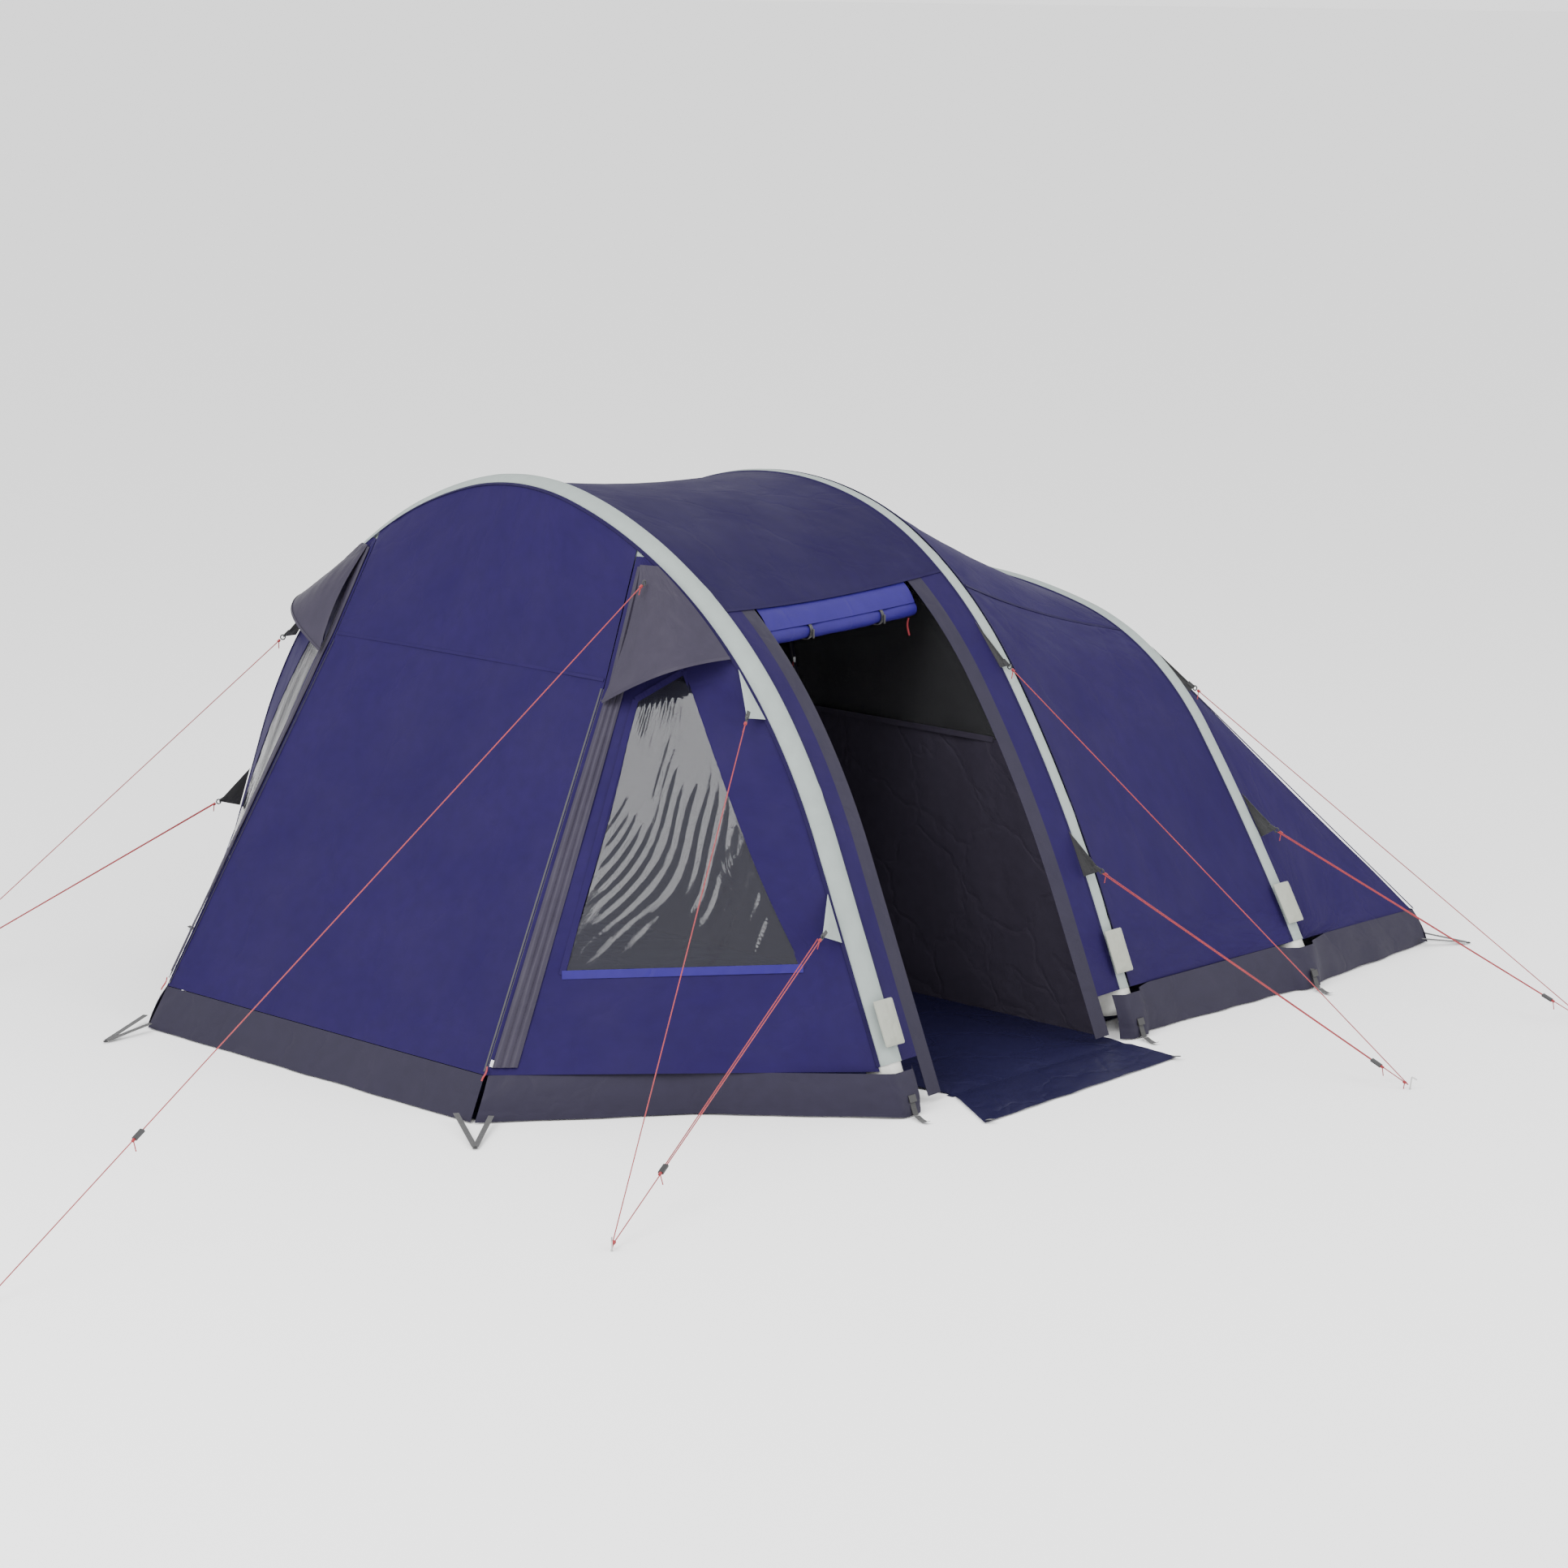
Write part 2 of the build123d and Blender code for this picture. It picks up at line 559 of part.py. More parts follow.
porch_knot = Vector(*PORCH_PEG, KNOT_Z)
porch_root = porch_point(1, 1722, 0.3) + porch_out(1) * 52
porch_pull = (porch_knot - porch_root).normalized()
guy_rings.append(ring(porch_root, porch_pull))
porch_start = porch_root + porch_pull * (RING_R + RING_WIRE_R + 1.5)
guyline_porch = tube(porch_start, porch_knot)
runners["runner_porch"] = (porch_start, porch_knot, PORCH_RUNNER_PART)
pegs.append(peg(*PORCH_PEG, Vector(0, 1, 0)))

# ---------------------------------------------------------------- the nodes
nodes = {
    "roof_front": [roof_front],
    "roof_rear": [roof_rear],
    "wall_front_left": [wall_front_left],
    "wall_rear_right": [wall_rear_right],
    "wall_rear_left": [wall_rear_left],
    "rear_slope": [rear_slope],
    "doorway_strips": doorway_strips,
    "doorway_jambs": doorway_jambs,
    "side_door_roll": [side_door_roll],
    "door_roll_ties": roll_ties,
    "porch_wall_right": [porch_walls[1]],
    "porch_wall_left": [porch_walls[-1]],
    "porch_windows": porch_windows,
    "window_hoods": window_hoods,
    "zip_covers": zip_covers,
    "front_door_upper": [front_door_upper],
    "front_door_lower": [front_door_lower],
    "front_door_skirt": [front_door_skirt],
    "front_door_zips": front_door_zips,
    "front_zip_slider_right": [front_sliders[1]],
    "front_zip_slider_left": [front_sliders[-1]],
    "porch_skirts": both_sides(porch_skirt),
    "side_skirt_right": [side_skirt_right],
    "side_skirt_left": [side_skirt_left],
    "rear_skirt": [skirt_rear],
    "groundsheet": [groundsheet],
    "threshold_flap": [threshold_flap],
    "inner_front_wall": [inner_wall],
    "inner_mesh": [inner_mesh],
    "inner_canopy": [inner_canopy],
    "inner_floor": [inner_floor],
    "inner_zip_slider": [inner_slider],
    "inflation_valves": valves,
    "guy_tabs": guy_tabs,
    "strap_rings": guy_rings + corner_rings,
    "peg_straps": foot_straps + corner_straps,
    "strap_buckles": strap_buckles,
    "pegs": pegs,
    "guylines_right": guylines[1],
    "guylines_left": guylines[-1],
    "guyline_porch": [guyline_porch],
}
for beam, name in enumerate(NAMES):
    nodes[f"air_beam_{name}"] = [beams[beam]]
    nodes[f"beam_sleeve_{name}"] = [sleeves[beam]]
    nodes[f"valve_cap_{name}"] = [valve_caps[beam]]
    nodes[f"valve_flap_{name}"] = [valve_flaps[beam]]
for name, place in runners.items():
    nodes[name] = [runner(*place)]

for name, solids in nodes.items():
    whole = solids[0] if len(solids) == 1 else Compound(children=[Compound(list(s.solids())) for s in solids])
    export_step(whole, f"parts/{name}.step")
print(len(nodes), "nodes")
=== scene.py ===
# %% [markdown]
# # An inflatable tunnel tent
# The tent is held up by three inflated arches, each in a pale fabric sleeve. The coloured fly is sewn to
# the sleeves, and its lines, straps and pegs hold it down. The frame that is loaded here has every part's
# place and size, so each piece below is made where its solid already is.

# %% Load the frame
import bisect
import json
import math

import bpy
from mathutils import Matrix, Vector, noise


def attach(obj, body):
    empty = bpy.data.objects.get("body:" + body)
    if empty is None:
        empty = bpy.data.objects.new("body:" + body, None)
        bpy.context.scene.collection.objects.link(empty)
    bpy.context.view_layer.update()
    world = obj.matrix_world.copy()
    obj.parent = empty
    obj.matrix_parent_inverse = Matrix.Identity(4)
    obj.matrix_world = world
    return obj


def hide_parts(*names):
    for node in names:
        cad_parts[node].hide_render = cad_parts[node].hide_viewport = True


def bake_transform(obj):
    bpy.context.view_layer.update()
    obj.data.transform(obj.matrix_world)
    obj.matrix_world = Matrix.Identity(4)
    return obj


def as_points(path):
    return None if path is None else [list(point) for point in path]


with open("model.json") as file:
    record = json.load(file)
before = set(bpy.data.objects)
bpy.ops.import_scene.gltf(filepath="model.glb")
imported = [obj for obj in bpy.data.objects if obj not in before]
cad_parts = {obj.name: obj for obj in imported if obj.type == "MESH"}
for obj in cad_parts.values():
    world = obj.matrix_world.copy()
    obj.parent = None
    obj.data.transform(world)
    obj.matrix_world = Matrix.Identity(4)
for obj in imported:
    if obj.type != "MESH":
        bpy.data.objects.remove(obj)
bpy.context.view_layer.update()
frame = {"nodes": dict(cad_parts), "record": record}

NODES = frame["nodes"]

# %% [markdown]
# ## The camera
# A long lens from about 15 m away keeps the arches nearly parallel, as a person sees them from across a
# field. The camera is turned by three angles: about the vertical, down from level, and a small roll about
# its own axis.

# %% Place the camera
CAMERA_PLACE = Vector((10.496, -10.965, 3.855))
CAMERA_TURN, CAMERA_DOWN, CAMERA_ROLL = (math.radians(a) for a in (43.042, 11.631, 0.376))
camera_data = bpy.data.cameras.new("camera")
camera_data.lens = 90.44
camera_data.sensor_width = 36
camera = bpy.data.objects.new("camera", camera_data)
bpy.context.scene.collection.objects.link(camera)
turn = Matrix.Rotation(CAMERA_TURN, 4, "Z") @ Matrix.Rotation(math.pi / 2 - CAMERA_DOWN, 4, "X")
camera.matrix_world = Matrix.Translation(CAMERA_PLACE) @ turn @ Matrix.Rotation(CAMERA_ROLL, 4, "Z")
bpy.context.scene.camera = camera
print("camera at", tuple(round(c, 2) for c in CAMERA_PLACE))

# %% [markdown]
# ## The guy lines
# A guy line is straight while it is pulled tight, so each one is a curve with a point at its loop, one just
# below the loop's knot, and one at its peg. The lower lines are doubled: the second strand comes back from
# the loop to the runner that tightens the line. The curve has a round bevel, which makes it a tube.

# %% Guy line routes
LINE_THICK = 0.004
PEG_TIES = {
    "front_right": (2.203, -2.848, 0.014),
    "middle_right": (2.936, 0.379, 0.014),
    "rear_right": (2.946, 1.557, 0.014),
    "front_left": (-2.086, -2.423, 0.014),
    "middle_left": (-2.936, 0.379, 0.014),
    "rear_left": (-2.946, 1.557, 0.014),
    "porch": (1.241, -4.478, 0.014),
}
LOOP_ENDS = {
    "front_right": ((1.2566, -1.2671, 1.3162), (1.6393, -1.2917, 0.6131)),
    "middle_right": ((1.2112, 0.2203, 1.3130), (1.6693, 0.2250, 0.6026)),
    "rear_right": ((1.2031, 1.3815, 1.0837), (1.6190, 1.3860, 0.5722)),
    "front_left": ((-1.2580, -1.2545, 1.3039), (-1.6406, -1.2858, 0.6008)),
    "middle_left": ((-1.2112, 0.2203, 1.3130), (-1.6693, 0.2250, 0.6026)),
    "rear_left": ((-1.2031, 1.3815, 1.0837), (-1.6190, 1.3860, 0.5722)),
    "porch": ((0.7395, -1.2578, 1.7365),),
}
RETURN_STRANDS = {
    "front_right": ((1.6290, -1.2955, 0.6131), (2.0727, -2.5043, 0.1471)),
    "middle_right": ((1.6706, 0.2141, 0.6026), (2.8226, 0.3596, 0.0670)),
    "rear_right": ((1.6205, 1.3750, 0.5722), (2.7870, 1.5310, 0.0812)),
    "front_left": ((-1.6508, -1.2817, 0.6008), (-1.9933, -2.1712, 0.1430)),
    "middle_left": ((-1.6681, 0.2359, 0.6026), (-2.8213, 0.3705, 0.0670)),
    "rear_left": ((-1.6176, 1.3969, 0.5722), (-2.7856, 1.5419, 0.0812)),
}


def line_node(place):
    """The part of the frame that a line stands for."""
    return "guyline_porch" if place == "porch" else f"guylines_{place.split('_')[1]}"


def straight_line(name, start, end, place):
    """A taut cord: its loop's end, a point just below the knot, and its other end."""
    start, end = Vector(start), Vector(end)
    curve = bpy.data.curves.new(name, "CURVE")
    curve.dimensions = "3D"
    curve.bevel_depth = 1
    curve.bevel_resolution = 2
    spline = curve.splines.new("NURBS")
    spline.points.add(2)
    for point, at in zip(spline.points, (start, start + (end - start).normalized() * 0.024, end)):
        point.co = (*at, 1)
        point.radius = LINE_THICK / 2
    spline.order_u = 3
    spline.use_endpoint_u = True
    piece = bpy.data.objects.new(name, curve)
    bpy.context.scene.collection.objects.link(piece)
    path = shorten_with_runner(piece, start, end) if name.endswith("return") else None
    if path is None:
        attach(piece, "tent")
    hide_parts(line_node(place))
    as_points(path)
    return piece


def shorten_with_runner(piece, start, end):
    """Makes a strand a mesh, and gives the centres of its rings."""
    bpy.ops.object.select_all(action="DESELECT")
    piece.select_set(True)
    bpy.context.view_layer.objects.active = piece
    bpy.ops.object.convert(target="MESH")
    ahead = (end - start).normalized()
    reach = sorted({round((vertex.co - start).dot(ahead), 4) for vertex in piece.data.vertices})
    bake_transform(piece)
    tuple(start)
    return [tuple(start + ahead * step) for step in reach]


LINES = []
for place, tie in PEG_TIES.items():
    for level, start in zip(("upper", "lower"), LOOP_ENDS[place]):
        LINES.append(straight_line(f"guyline_{place}_{level}", start, tie, place))
for place, ends in RETURN_STRANDS.items():
    LINES.append(straight_line(f"guyline_{place}_return", *ends, place))
doubled = sum((Vector(a) - Vector(b)).length for a, b in RETURN_STRANDS.values())
print(len(LINES), "lines,", round(doubled, 2), "m doubled")

# %% [markdown]
# ## Finishes
# Coated tent cloth is a fine plain weave with a soft sheen. It keeps the faint creases of its packing, and
# its colour is never quite even. Each finish is one material made from the shader's own settings and three
# patterns: broad fading, crossed threads, and creases. The patterns follow the piece's own UV map, which is
# laid out in metres, so a thread has the same size on every piece.

# %% Material helpers
def new_finish(name, colour, roughness, **settings):
    """A material and its shader, with the settings that are the same all over it."""
    material = bpy.data.materials.new(name)
    material.use_nodes = True
    shader = material.node_tree.nodes["Principled BSDF"]
    shader.inputs["Base Color"].default_value = (*colour, 1)
    shader.inputs["Roughness"].default_value = roughness
    for setting, value in settings.items():
        shader.inputs[setting.replace("_", " ")].default_value = value
    return material, shader


def add(material, kind, inputs=None, **settings):
    """A node whose inputs are numbers, colours or other nodes' outputs."""
    new = material.node_tree.nodes.new(kind)
    for setting, value in settings.items():
        setattr(new, setting, value)
    for name, value in (inputs or {}).items():
        if isinstance(value, bpy.types.NodeSocket):
            material.node_tree.links.new(value, new.inputs[name])
        else:
            new.inputs[name].default_value = value
    return new


def surface_place(material, follows):
    """The coordinates that a pattern follows: a piece's own UV map, or its object's."""
    if follows == "UV":
        return add(material, "ShaderNodeUVMap", uv_map="UVMap").outputs["UV"]
    return add(material, "ShaderNodeTexCoord").outputs["Object"]


def uneven_colour(material, shader, place, colour, spread, size):
    """Broad and fine changes of a colour's depth, as fading and dust give it."""
    broad = add(material, "ShaderNodeTexNoise", {"Vector": place, "Scale": 1 / size, "Detail": 4.0})
    fine = add(material, "ShaderNodeTexNoise", {"Vector": place, "Scale": 14 / size, "Detail": 6.0})
    both = add(material, "ShaderNodeMath", {0: broad.outputs["Fac"], 1: fine.outputs["Fac"]}, operation="MULTIPLY")
    share = add(material, "ShaderNodeMapRange", {"Value": both.outputs[0], "From Min": 0.12, "From Max": 0.42})
    dark = tuple(c * (1 - spread) for c in colour)
    light = tuple(min(1, c * (1 + spread)) for c in colour)
    ramp = add(material, "ShaderNodeValToRGB", {"Fac": share.outputs["Result"]})
    ramp.color_ramp.elements[0].color = (*dark, 1)
    ramp.color_ramp.elements[1].color = (*light, 1)
    material.node_tree.links.new(ramp.outputs["Color"], shader.inputs["Base Color"])
    return ramp


def threads(material, place, pitch):
    """Crossed threads, as the height of a plain weave."""
    ways = [
        add(material, "ShaderNodeTexWave", {"Vector": place, "Scale": 0.314 / pitch, "Distortion": 0.3},
            bands_direction=way)
        for way in ("X", "Y")
    ]
    return add(material, "ShaderNodeMath", {0: ways[0].outputs["Fac"], 1: ways[1].outputs["Fac"]},
               operation="MULTIPLY").outputs[0]


def packing_creases(material, place, size):
    """Thin crooked lines where the cloth was folded."""
    bend = add(material, "ShaderNodeTexNoise", {"Vector": place, "Scale": 2.5 / size, "Detail": 2.0})
    moved = add(material, "ShaderNodeVectorMath", {0: bend.outputs["Color"], 1: (size * 0.5,) * 3},
                operation="MULTIPLY")
    bent = add(material, "ShaderNodeVectorMath", {0: place, 1: moved.outputs[0]})
    cells = add(material, "ShaderNodeTexVoronoi", {"Vector": bent.outputs[0], "Scale": 1 / size},
                feature="DISTANCE_TO_EDGE")
    crease = add(material, "ShaderNodeMapRange", {"Value": cells.outputs["Distance"], "From Max": 0.06})
    return crease.outputs["Result"]


def raised(material, shader, heights):
    """Stacks bumps on a shader: each is a height, its strength and its depth in metres."""
    normal = None
    for height, strength, depth in heights:
        inputs = {"Height": height, "Strength": strength, "Distance": depth}
        if normal:
            inputs["Normal"] = normal
        normal = add(material, "ShaderNodeBump", inputs).outputs["Normal"]
    material.node_tree.links.new(normal, shader.inputs["Normal"])


def uneven_gloss(material, shader, place, low, high, size):
    """Roughness that changes a little from place to place."""
    patch = add(material, "ShaderNodeTexNoise", {"Vector": place, "Scale": 1 / size, "Detail": 5.0})
    gloss = add(material, "ShaderNodeMapRange", {"Value": patch.outputs["Fac"], "From Min": 0.3, "From Max": 0.7,
                                                 "To Min": low, "To Max": high})
    material.node_tree.links.new(gloss.outputs["Result"], shader.inputs["Roughness"])


def tent_cloth(name, colour, roughness=0.75, spread=0.1, crease=0.45, pitch=0.0011, sheen=0.0, follows="UV"):
    """Coated cloth: fine threads, faint creases and a soft sheen."""
    material, shader = new_finish(name, colour, roughness, Sheen_Weight=sheen, Sheen_Roughness=0.5,
                                  Specular_IOR_Level=0.16)
    place = surface_place(material, follows)
    uneven_colour(material, shader, place, colour, spread, 0.7)
    uneven_gloss(material, shader, place, roughness - 0.07, roughness + 0.07, 0.25)
    raised(material, shader, [(packing_creases(material, place, 0.32), crease, 0.002),
                              (threads(material, place, pitch), 0.25, 0.0002)])
    return material


# %% Cloth finishes
FINISHES = {
    "fly_fabric": tent_cloth("deep blue fly", (0.0088, 0.0034, 0.0440)),
    "roof_fabric": tent_cloth("deep blue roof", (0.0064, 0.0026, 0.0320)),
    "roll_fabric": tent_cloth("bright blue door lining", (0.0160, 0.0080, 0.1150), roughness=0.5),
    "sleeve_fabric": tent_cloth("pale grey sleeve", (0.240, 0.275, 0.265), spread=0.06, crease=0.25),
    "cream_fabric": tent_cloth("cream flap cloth", (0.28, 0.29, 0.25), spread=0.07, crease=0.3),
    "skirt_fabric": tent_cloth("slate skirt cloth", (0.0155, 0.0130, 0.0270), roughness=0.55, crease=0.5),
    "cover_fabric": tent_cloth("grey zip cover", (0.027, 0.023, 0.038), roughness=0.5, crease=0.3),
    "ground_fabric": tent_cloth("navy groundsheet", (0.010, 0.009, 0.034), roughness=0.35, crease=0.8),
    "inner_fabric": tent_cloth("dark inner cloth", (0.026, 0.022, 0.034), roughness=0.55, crease=0.9),
}
print(len(FINISHES), "cloth finishes")

# %% [markdown]
# ## Webbing, cord, film, mesh, metal and plastic
# Webbing is a coarse weave with a rib along each edge. Cord is a braid, so its bumps run round it on a
# slant. The window film is glossy, and its base colour is dark: painted shade, standing for the shaded inside
# of the porch seen through the clear film. The mosquito net is a cloth with holes too small to model, so
# its shader is partly see-through. Metal and moulded plastic get fine scratches and a little grain.

# %% Other finishes
def webbing(name, colour):
    material, shader = new_finish(name, colour, 0.75, Sheen_Weight=0.2)
    place = surface_place(material, "Object")
    uneven_colour(material, shader, place, colour, 0.25, 0.05)
    raised(material, shader, [(threads(material, place, 0.0024), 0.7, 0.0006)])
    return material


def braid(name, colour):
    material, shader = new_finish(name, colour, 0.6, Sheen_Weight=0.2)
    place = surface_place(material, "Object")
    slant = add(material, "ShaderNodeTexWave", {"Vector": place, "Scale": 110.0}, bands_direction="DIAGONAL")
    uneven_colour(material, shader, place, colour, 0.2, 0.06)
    raised(material, shader, [(slant.outputs["Fac"], 0.6, 0.0005)])
    return material


def window_film(name):
    # The dark base colour is painted shade: it stands for the shaded inside of the porch, seen through the clear
    # film.
    material, shader = new_finish(name, (0.020, 0.020, 0.030), 0.06, Alpha=0.42, IOR=1.45, Coat_Weight=0.25)
    place = surface_place(material, "UV")
    ripple = add(material, "ShaderNodeTexNoise", {"Vector": place, "Scale": 9.0, "Detail": 3.0, "Distortion": 0.8})
    raised(material, shader, [(ripple.outputs["Fac"], 0.35, 0.01)])
    return material


def net(name, colour):
    material, shader = new_finish(name, colour, 0.8, Alpha=0.82)
    place = surface_place(material, "UV")
    uneven_colour(material, shader, place, colour, 0.3, 0.4)
    raised(material, shader, [(threads(material, place, 0.0016), 0.5, 0.0003)])
    return material


def metal(name, colour, roughness=0.32):
    material, shader = new_finish(name, colour, roughness, Metallic=1.0)
    place = surface_place(material, "Object")
    uneven_colour(material, shader, place, colour, 0.12, 0.02)
    uneven_gloss(material, shader, place, roughness - 0.1, roughness + 0.15, 0.006)
    return material


def moulded(name, colour, roughness=0.45):
    material, shader = new_finish(name, colour, roughness)
    place = surface_place(material, "Object")
    grain = add(material, "ShaderNodeTexNoise", {"Vector": place, "Scale": 900.0, "Detail": 2.0})
    uneven_colour(material, shader, place, colour, 0.12, 0.03)
    raised(material, shader, [(grain.outputs["Fac"], 0.2, 0.0002)])
    return material


FINISHES.update({
    "webbing": webbing("black webbing", (0.012, 0.012, 0.013)),
    "guy_cord": braid("red cord", (0.24, 0.004, 0.010)),
    # The window film's dark colour is painted shade of the porch's inside.
    "window_film": window_film("window film with painted porch shade"),
    "mesh_fabric": net("black mosquito net", (0.010, 0.010, 0.012)),
    "zip_metal": metal("zip metal", (0.55, 0.55, 0.56)),
    "peg_steel": metal("galvanised steel", (0.50, 0.50, 0.49), 0.4),
    "black_plastic": moulded("black plastic", (0.014, 0.014, 0.015)),
    "grey_plastic": moulded("grey valve plastic", (0.20, 0.20, 0.21)),
    "bladder_film": moulded("clear-grey beam film", (0.50, 0.50, 0.47), 0.3),
})
for line in LINES:
    line.data.materials.append(FINISHES["guy_cord"])
for part in frame["record"]["subparts"]:
    slots = NODES[part["node"]].data.materials
    slots.clear()
    slots.append(FINISHES[part["material_slot"]])
print(len(FINISHES), "finishes in all")

# %% [markdown]
# ## The shape of an arch
# Each beam is four arcs that run into each other from the crown down, and then a straight leg. A station
# counts along it: 0 is the crown, 4 the top of the leg, 5 the hem and 6 the ground, and a negative station
# is on the left. All the cloth hangs from these lines, so they are written once, as functions.

# %% Arches and seams
ARCHES = {
    "front": (-1.105, 1.980, ((1.030, 15), (1.770, 20), (1.700, 20), (2.090, 12))),
    "middle": (0.255, 1.880, ((1.365, 15), (1.170, 20), (1.580, 20), (4.650, 12))),
    "rear": (1.300, 1.415, ((2.600, 15), (1.015, 20), (1.045, 20), (9.000, 5))),
}
HEM = 0.150
SLEEVE = 0.068
SEAM_REACH = 0.072
SEAM_ANGLES = {-1: {"front": 59, "middle": 32, "rear": 33}, 1: {"front": 59, "middle": 32, "rear": 62}}
SIDE_NAMES = {1: "right", -1: "left"}


def mix(a, b, share):
    return a + (b - a) * share


def arch(beam, station, out=0.0, ahead=0.0):
    """A point beside a beam, stepped outwards from the arch and ahead along the tent."""
    y, z, arcs = ARCHES[beam]
    side, station = math.copysign(1, station), abs(station)
    x, turn = 0.0, 0.0
    for number, (radius, arc_turn) in enumerate(arcs):
        end = turn + math.radians(arc_turn) * min(max(station - number, 0), 1)
        x += radius * (math.sin(end) - math.sin(turn))
        z += radius * (math.cos(end) - math.cos(turn))
        turn = end
    drop = (z - HEM) * min(max(station - 4, 0), 1) + HEM * max(station - 5, 0)
    x += drop / math.tan(turn) if drop else 0
    return Vector((side * (x + out * math.sin(turn)), y + ahead, z - drop + out * math.cos(turn)))


def outward(beam, station):
    return arch(beam, station, 1) - arch(beam, station)


def seam(beam, facing, station, reach=SEAM_REACH):
    """A point of the seam between a sleeve and the fly, on the sleeve's front (-1) or back (+1)."""
    angle = math.radians(SEAM_ANGLES[facing][beam])
    return arch(beam, station, reach * math.cos(angle), facing * reach * math.sin(angle))


STATION_STEPS = 600
SEAM_HEIGHTS = {
    (beam, facing): [-seam(beam, facing, step * 6 / STATION_STEPS).z for step in range(STATION_STEPS + 1)]
    for beam in ARCHES for facing in (-1, 1)
}


def station_at(beam, facing, height):
    """The right-hand station at which a seam reaches a height."""
    heights = SEAM_HEIGHTS[beam, facing]
    step = min(max(bisect.bisect(heights, -height), 1), STATION_STEPS)
    above, below = heights[step - 1], heights[step]
    return (step - 1 + min(max((-height - above) / (below - above), 0), 1)) * 6 / STATION_STEPS


def down_wall(start, share):
    """A wall's station, from its top edge to the hem: the last third of the cloth is on the straight leg."""
    return mix(start, 4, share / 0.68) if share < 0.68 else mix(4, 5, (share - 0.68) / 0.32)


print("crowns", [round(arch(beam, 0).z, 3) for beam in ARCHES])
print("feet", [round(arch(beam, 6).x, 3) for beam in ARCHES])

# %% [markdown]
# ## Laying cloth
# A cloth panel starts as a flat grid. Each of its points is moved to its place on the frame, which a small
# function works out from two shares, across and along the panel. Real tent cloth is never quite smooth: it
# puckers beside its seams, it creases out from its corners, and it billows a little between. Those are
# added along the cloth's own normals, and Solidify gives it a thickness.

# %% Cloth helpers
def deselect():
    if bpy.context.object and bpy.context.object.mode != "OBJECT":
        bpy.ops.object.mode_set(mode="OBJECT")
    bpy.ops.object.select_all(action="DESELECT")


def choose(piece):
    """Selects one piece and makes it active."""
    deselect()
    piece.select_set(True)
    bpy.context.view_layer.objects.active = piece
    return piece


def apply_all(piece):
    choose(piece)
    for modifier in list(piece.modifiers):
        bpy.ops.object.modifier_apply(modifier=modifier.name)
    return piece


def keep_faces(piece, wanted):
    """Deletes the faces whose centres aren't wanted."""
    choose(piece)
    bpy.ops.object.mode_set(mode="EDIT")
    bpy.ops.mesh.select_mode(type="FACE")
    bpy.ops.mesh.select_all(action="DESELECT")
    bpy.ops.object.mode_set(mode="OBJECT")
    for face in piece.data.polygons:
        face.select = not wanted(face.center.x + 0.5, face.center.y + 0.5)
    bpy.ops.object.mode_set(mode="EDIT")
    bpy.ops.mesh.delete(type="FACE")
    bpy.ops.object.mode_set(mode="OBJECT")


def wrinkle(across, along, size, amount, seed):
    """How far cloth stands off its smooth shape at a point of it, in metres."""
    wide, long = size
    edge = min(across, wide - across, along, long - along)
    pucker = math.exp(-edge / 0.035) * noise.noise((across * 34 + seed, along * 34, seed)) * 0.8
    billow = noise.noise((across * 2.1 + seed, along * 2.1, seed)) * 0.9
    folds = 0.0
    for x, y in ((0, 0), (wide, 0), (0, long), (wide, long)):
        reach = math.hypot(across - x, along - y)
        bearing = math.atan2(along - y, across - x)
        ridge = 1 - abs(noise.noise((bearing * 7.0 + seed, x + y, seed * 1.7))) * 2.4
        folds += math.exp(-reach / 0.42) * max(ridge, -0.4) * min(reach / 0.1, 1)
    return amount * (pucker + billow + folds) * min(edge / 0.012, 1)


def lay_cloth(name, cells, size, place, amount=0.004, seed=0.0, keep=None, thick=0.0015, facing=None):
    """A panel of cloth with its UV map in metres. facing is a point that its inner face looks towards."""
    deselect()
    bpy.ops.mesh.primitive_grid_add(x_subdivisions=cells[0], y_subdivisions=cells[1], size=1)
    piece = bpy.context.object
    piece.name = piece.data.name = name
    if keep:
        keep_faces(piece, keep)
    shares = [(vertex.co.x + 0.5, vertex.co.y + 0.5) for vertex in piece.data.vertices]
    for corner in piece.data.uv_layers[0].data:
        corner.uv = (corner.uv[0] * size[0], corner.uv[1] * size[1])
    for vertex, share in zip(piece.data.vertices, shares):
        vertex.co = place(*share)
    middle = sum((face.center for face in piece.data.polygons), Vector()) / len(piece.data.polygons)
    inside = Vector(facing or (0, middle.y * 0.5, 0.4))
    look = sum(face.normal.dot(face.center - inside) for face in piece.data.polygons)
    if look < 0:
        bpy.ops.object.mode_set(mode="EDIT")
        bpy.ops.mesh.select_all(action="SELECT")
        bpy.ops.mesh.flip_normals()
        bpy.ops.object.mode_set(mode="OBJECT")
    if amount:
        normals = [vertex.normal.copy() for vertex in piece.data.vertices]
        for vertex, normal, (across, along) in zip(piece.data.vertices, normals, shares):
            vertex.co += normal * wrinkle(across * size[0], along * size[1], size, amount, seed)
    piece["cloth_area"] = sum(face.area for face in piece.data.polygons)
    wall = piece.modifiers.new("thickness", "SOLIDIFY")
    wall.thickness = thick
    wall.offset = -1
    apply_all(piece)
    bpy.ops.object.shade_smooth_by_angle(angle=math.radians(50))
    return piece


def finish_piece(piece, slot, body="tent", stands_for=()):
    """Gives a finished piece its material and its body, and hides the parts that it stands for."""
    piece.data.materials.clear()
    piece.data.materials.append(FINISHES[slot])
    if body:
        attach(piece, body)
    if stands_for:
        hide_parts(*stands_for)
    return piece


def declare_sheet(piece, size):
    """Reads a sheet's area, compares it with its width times its length, and returns the piece unchanged."""
    area = piece["cloth_area"]
    area if area < size[0] * size[1] else None
    return piece


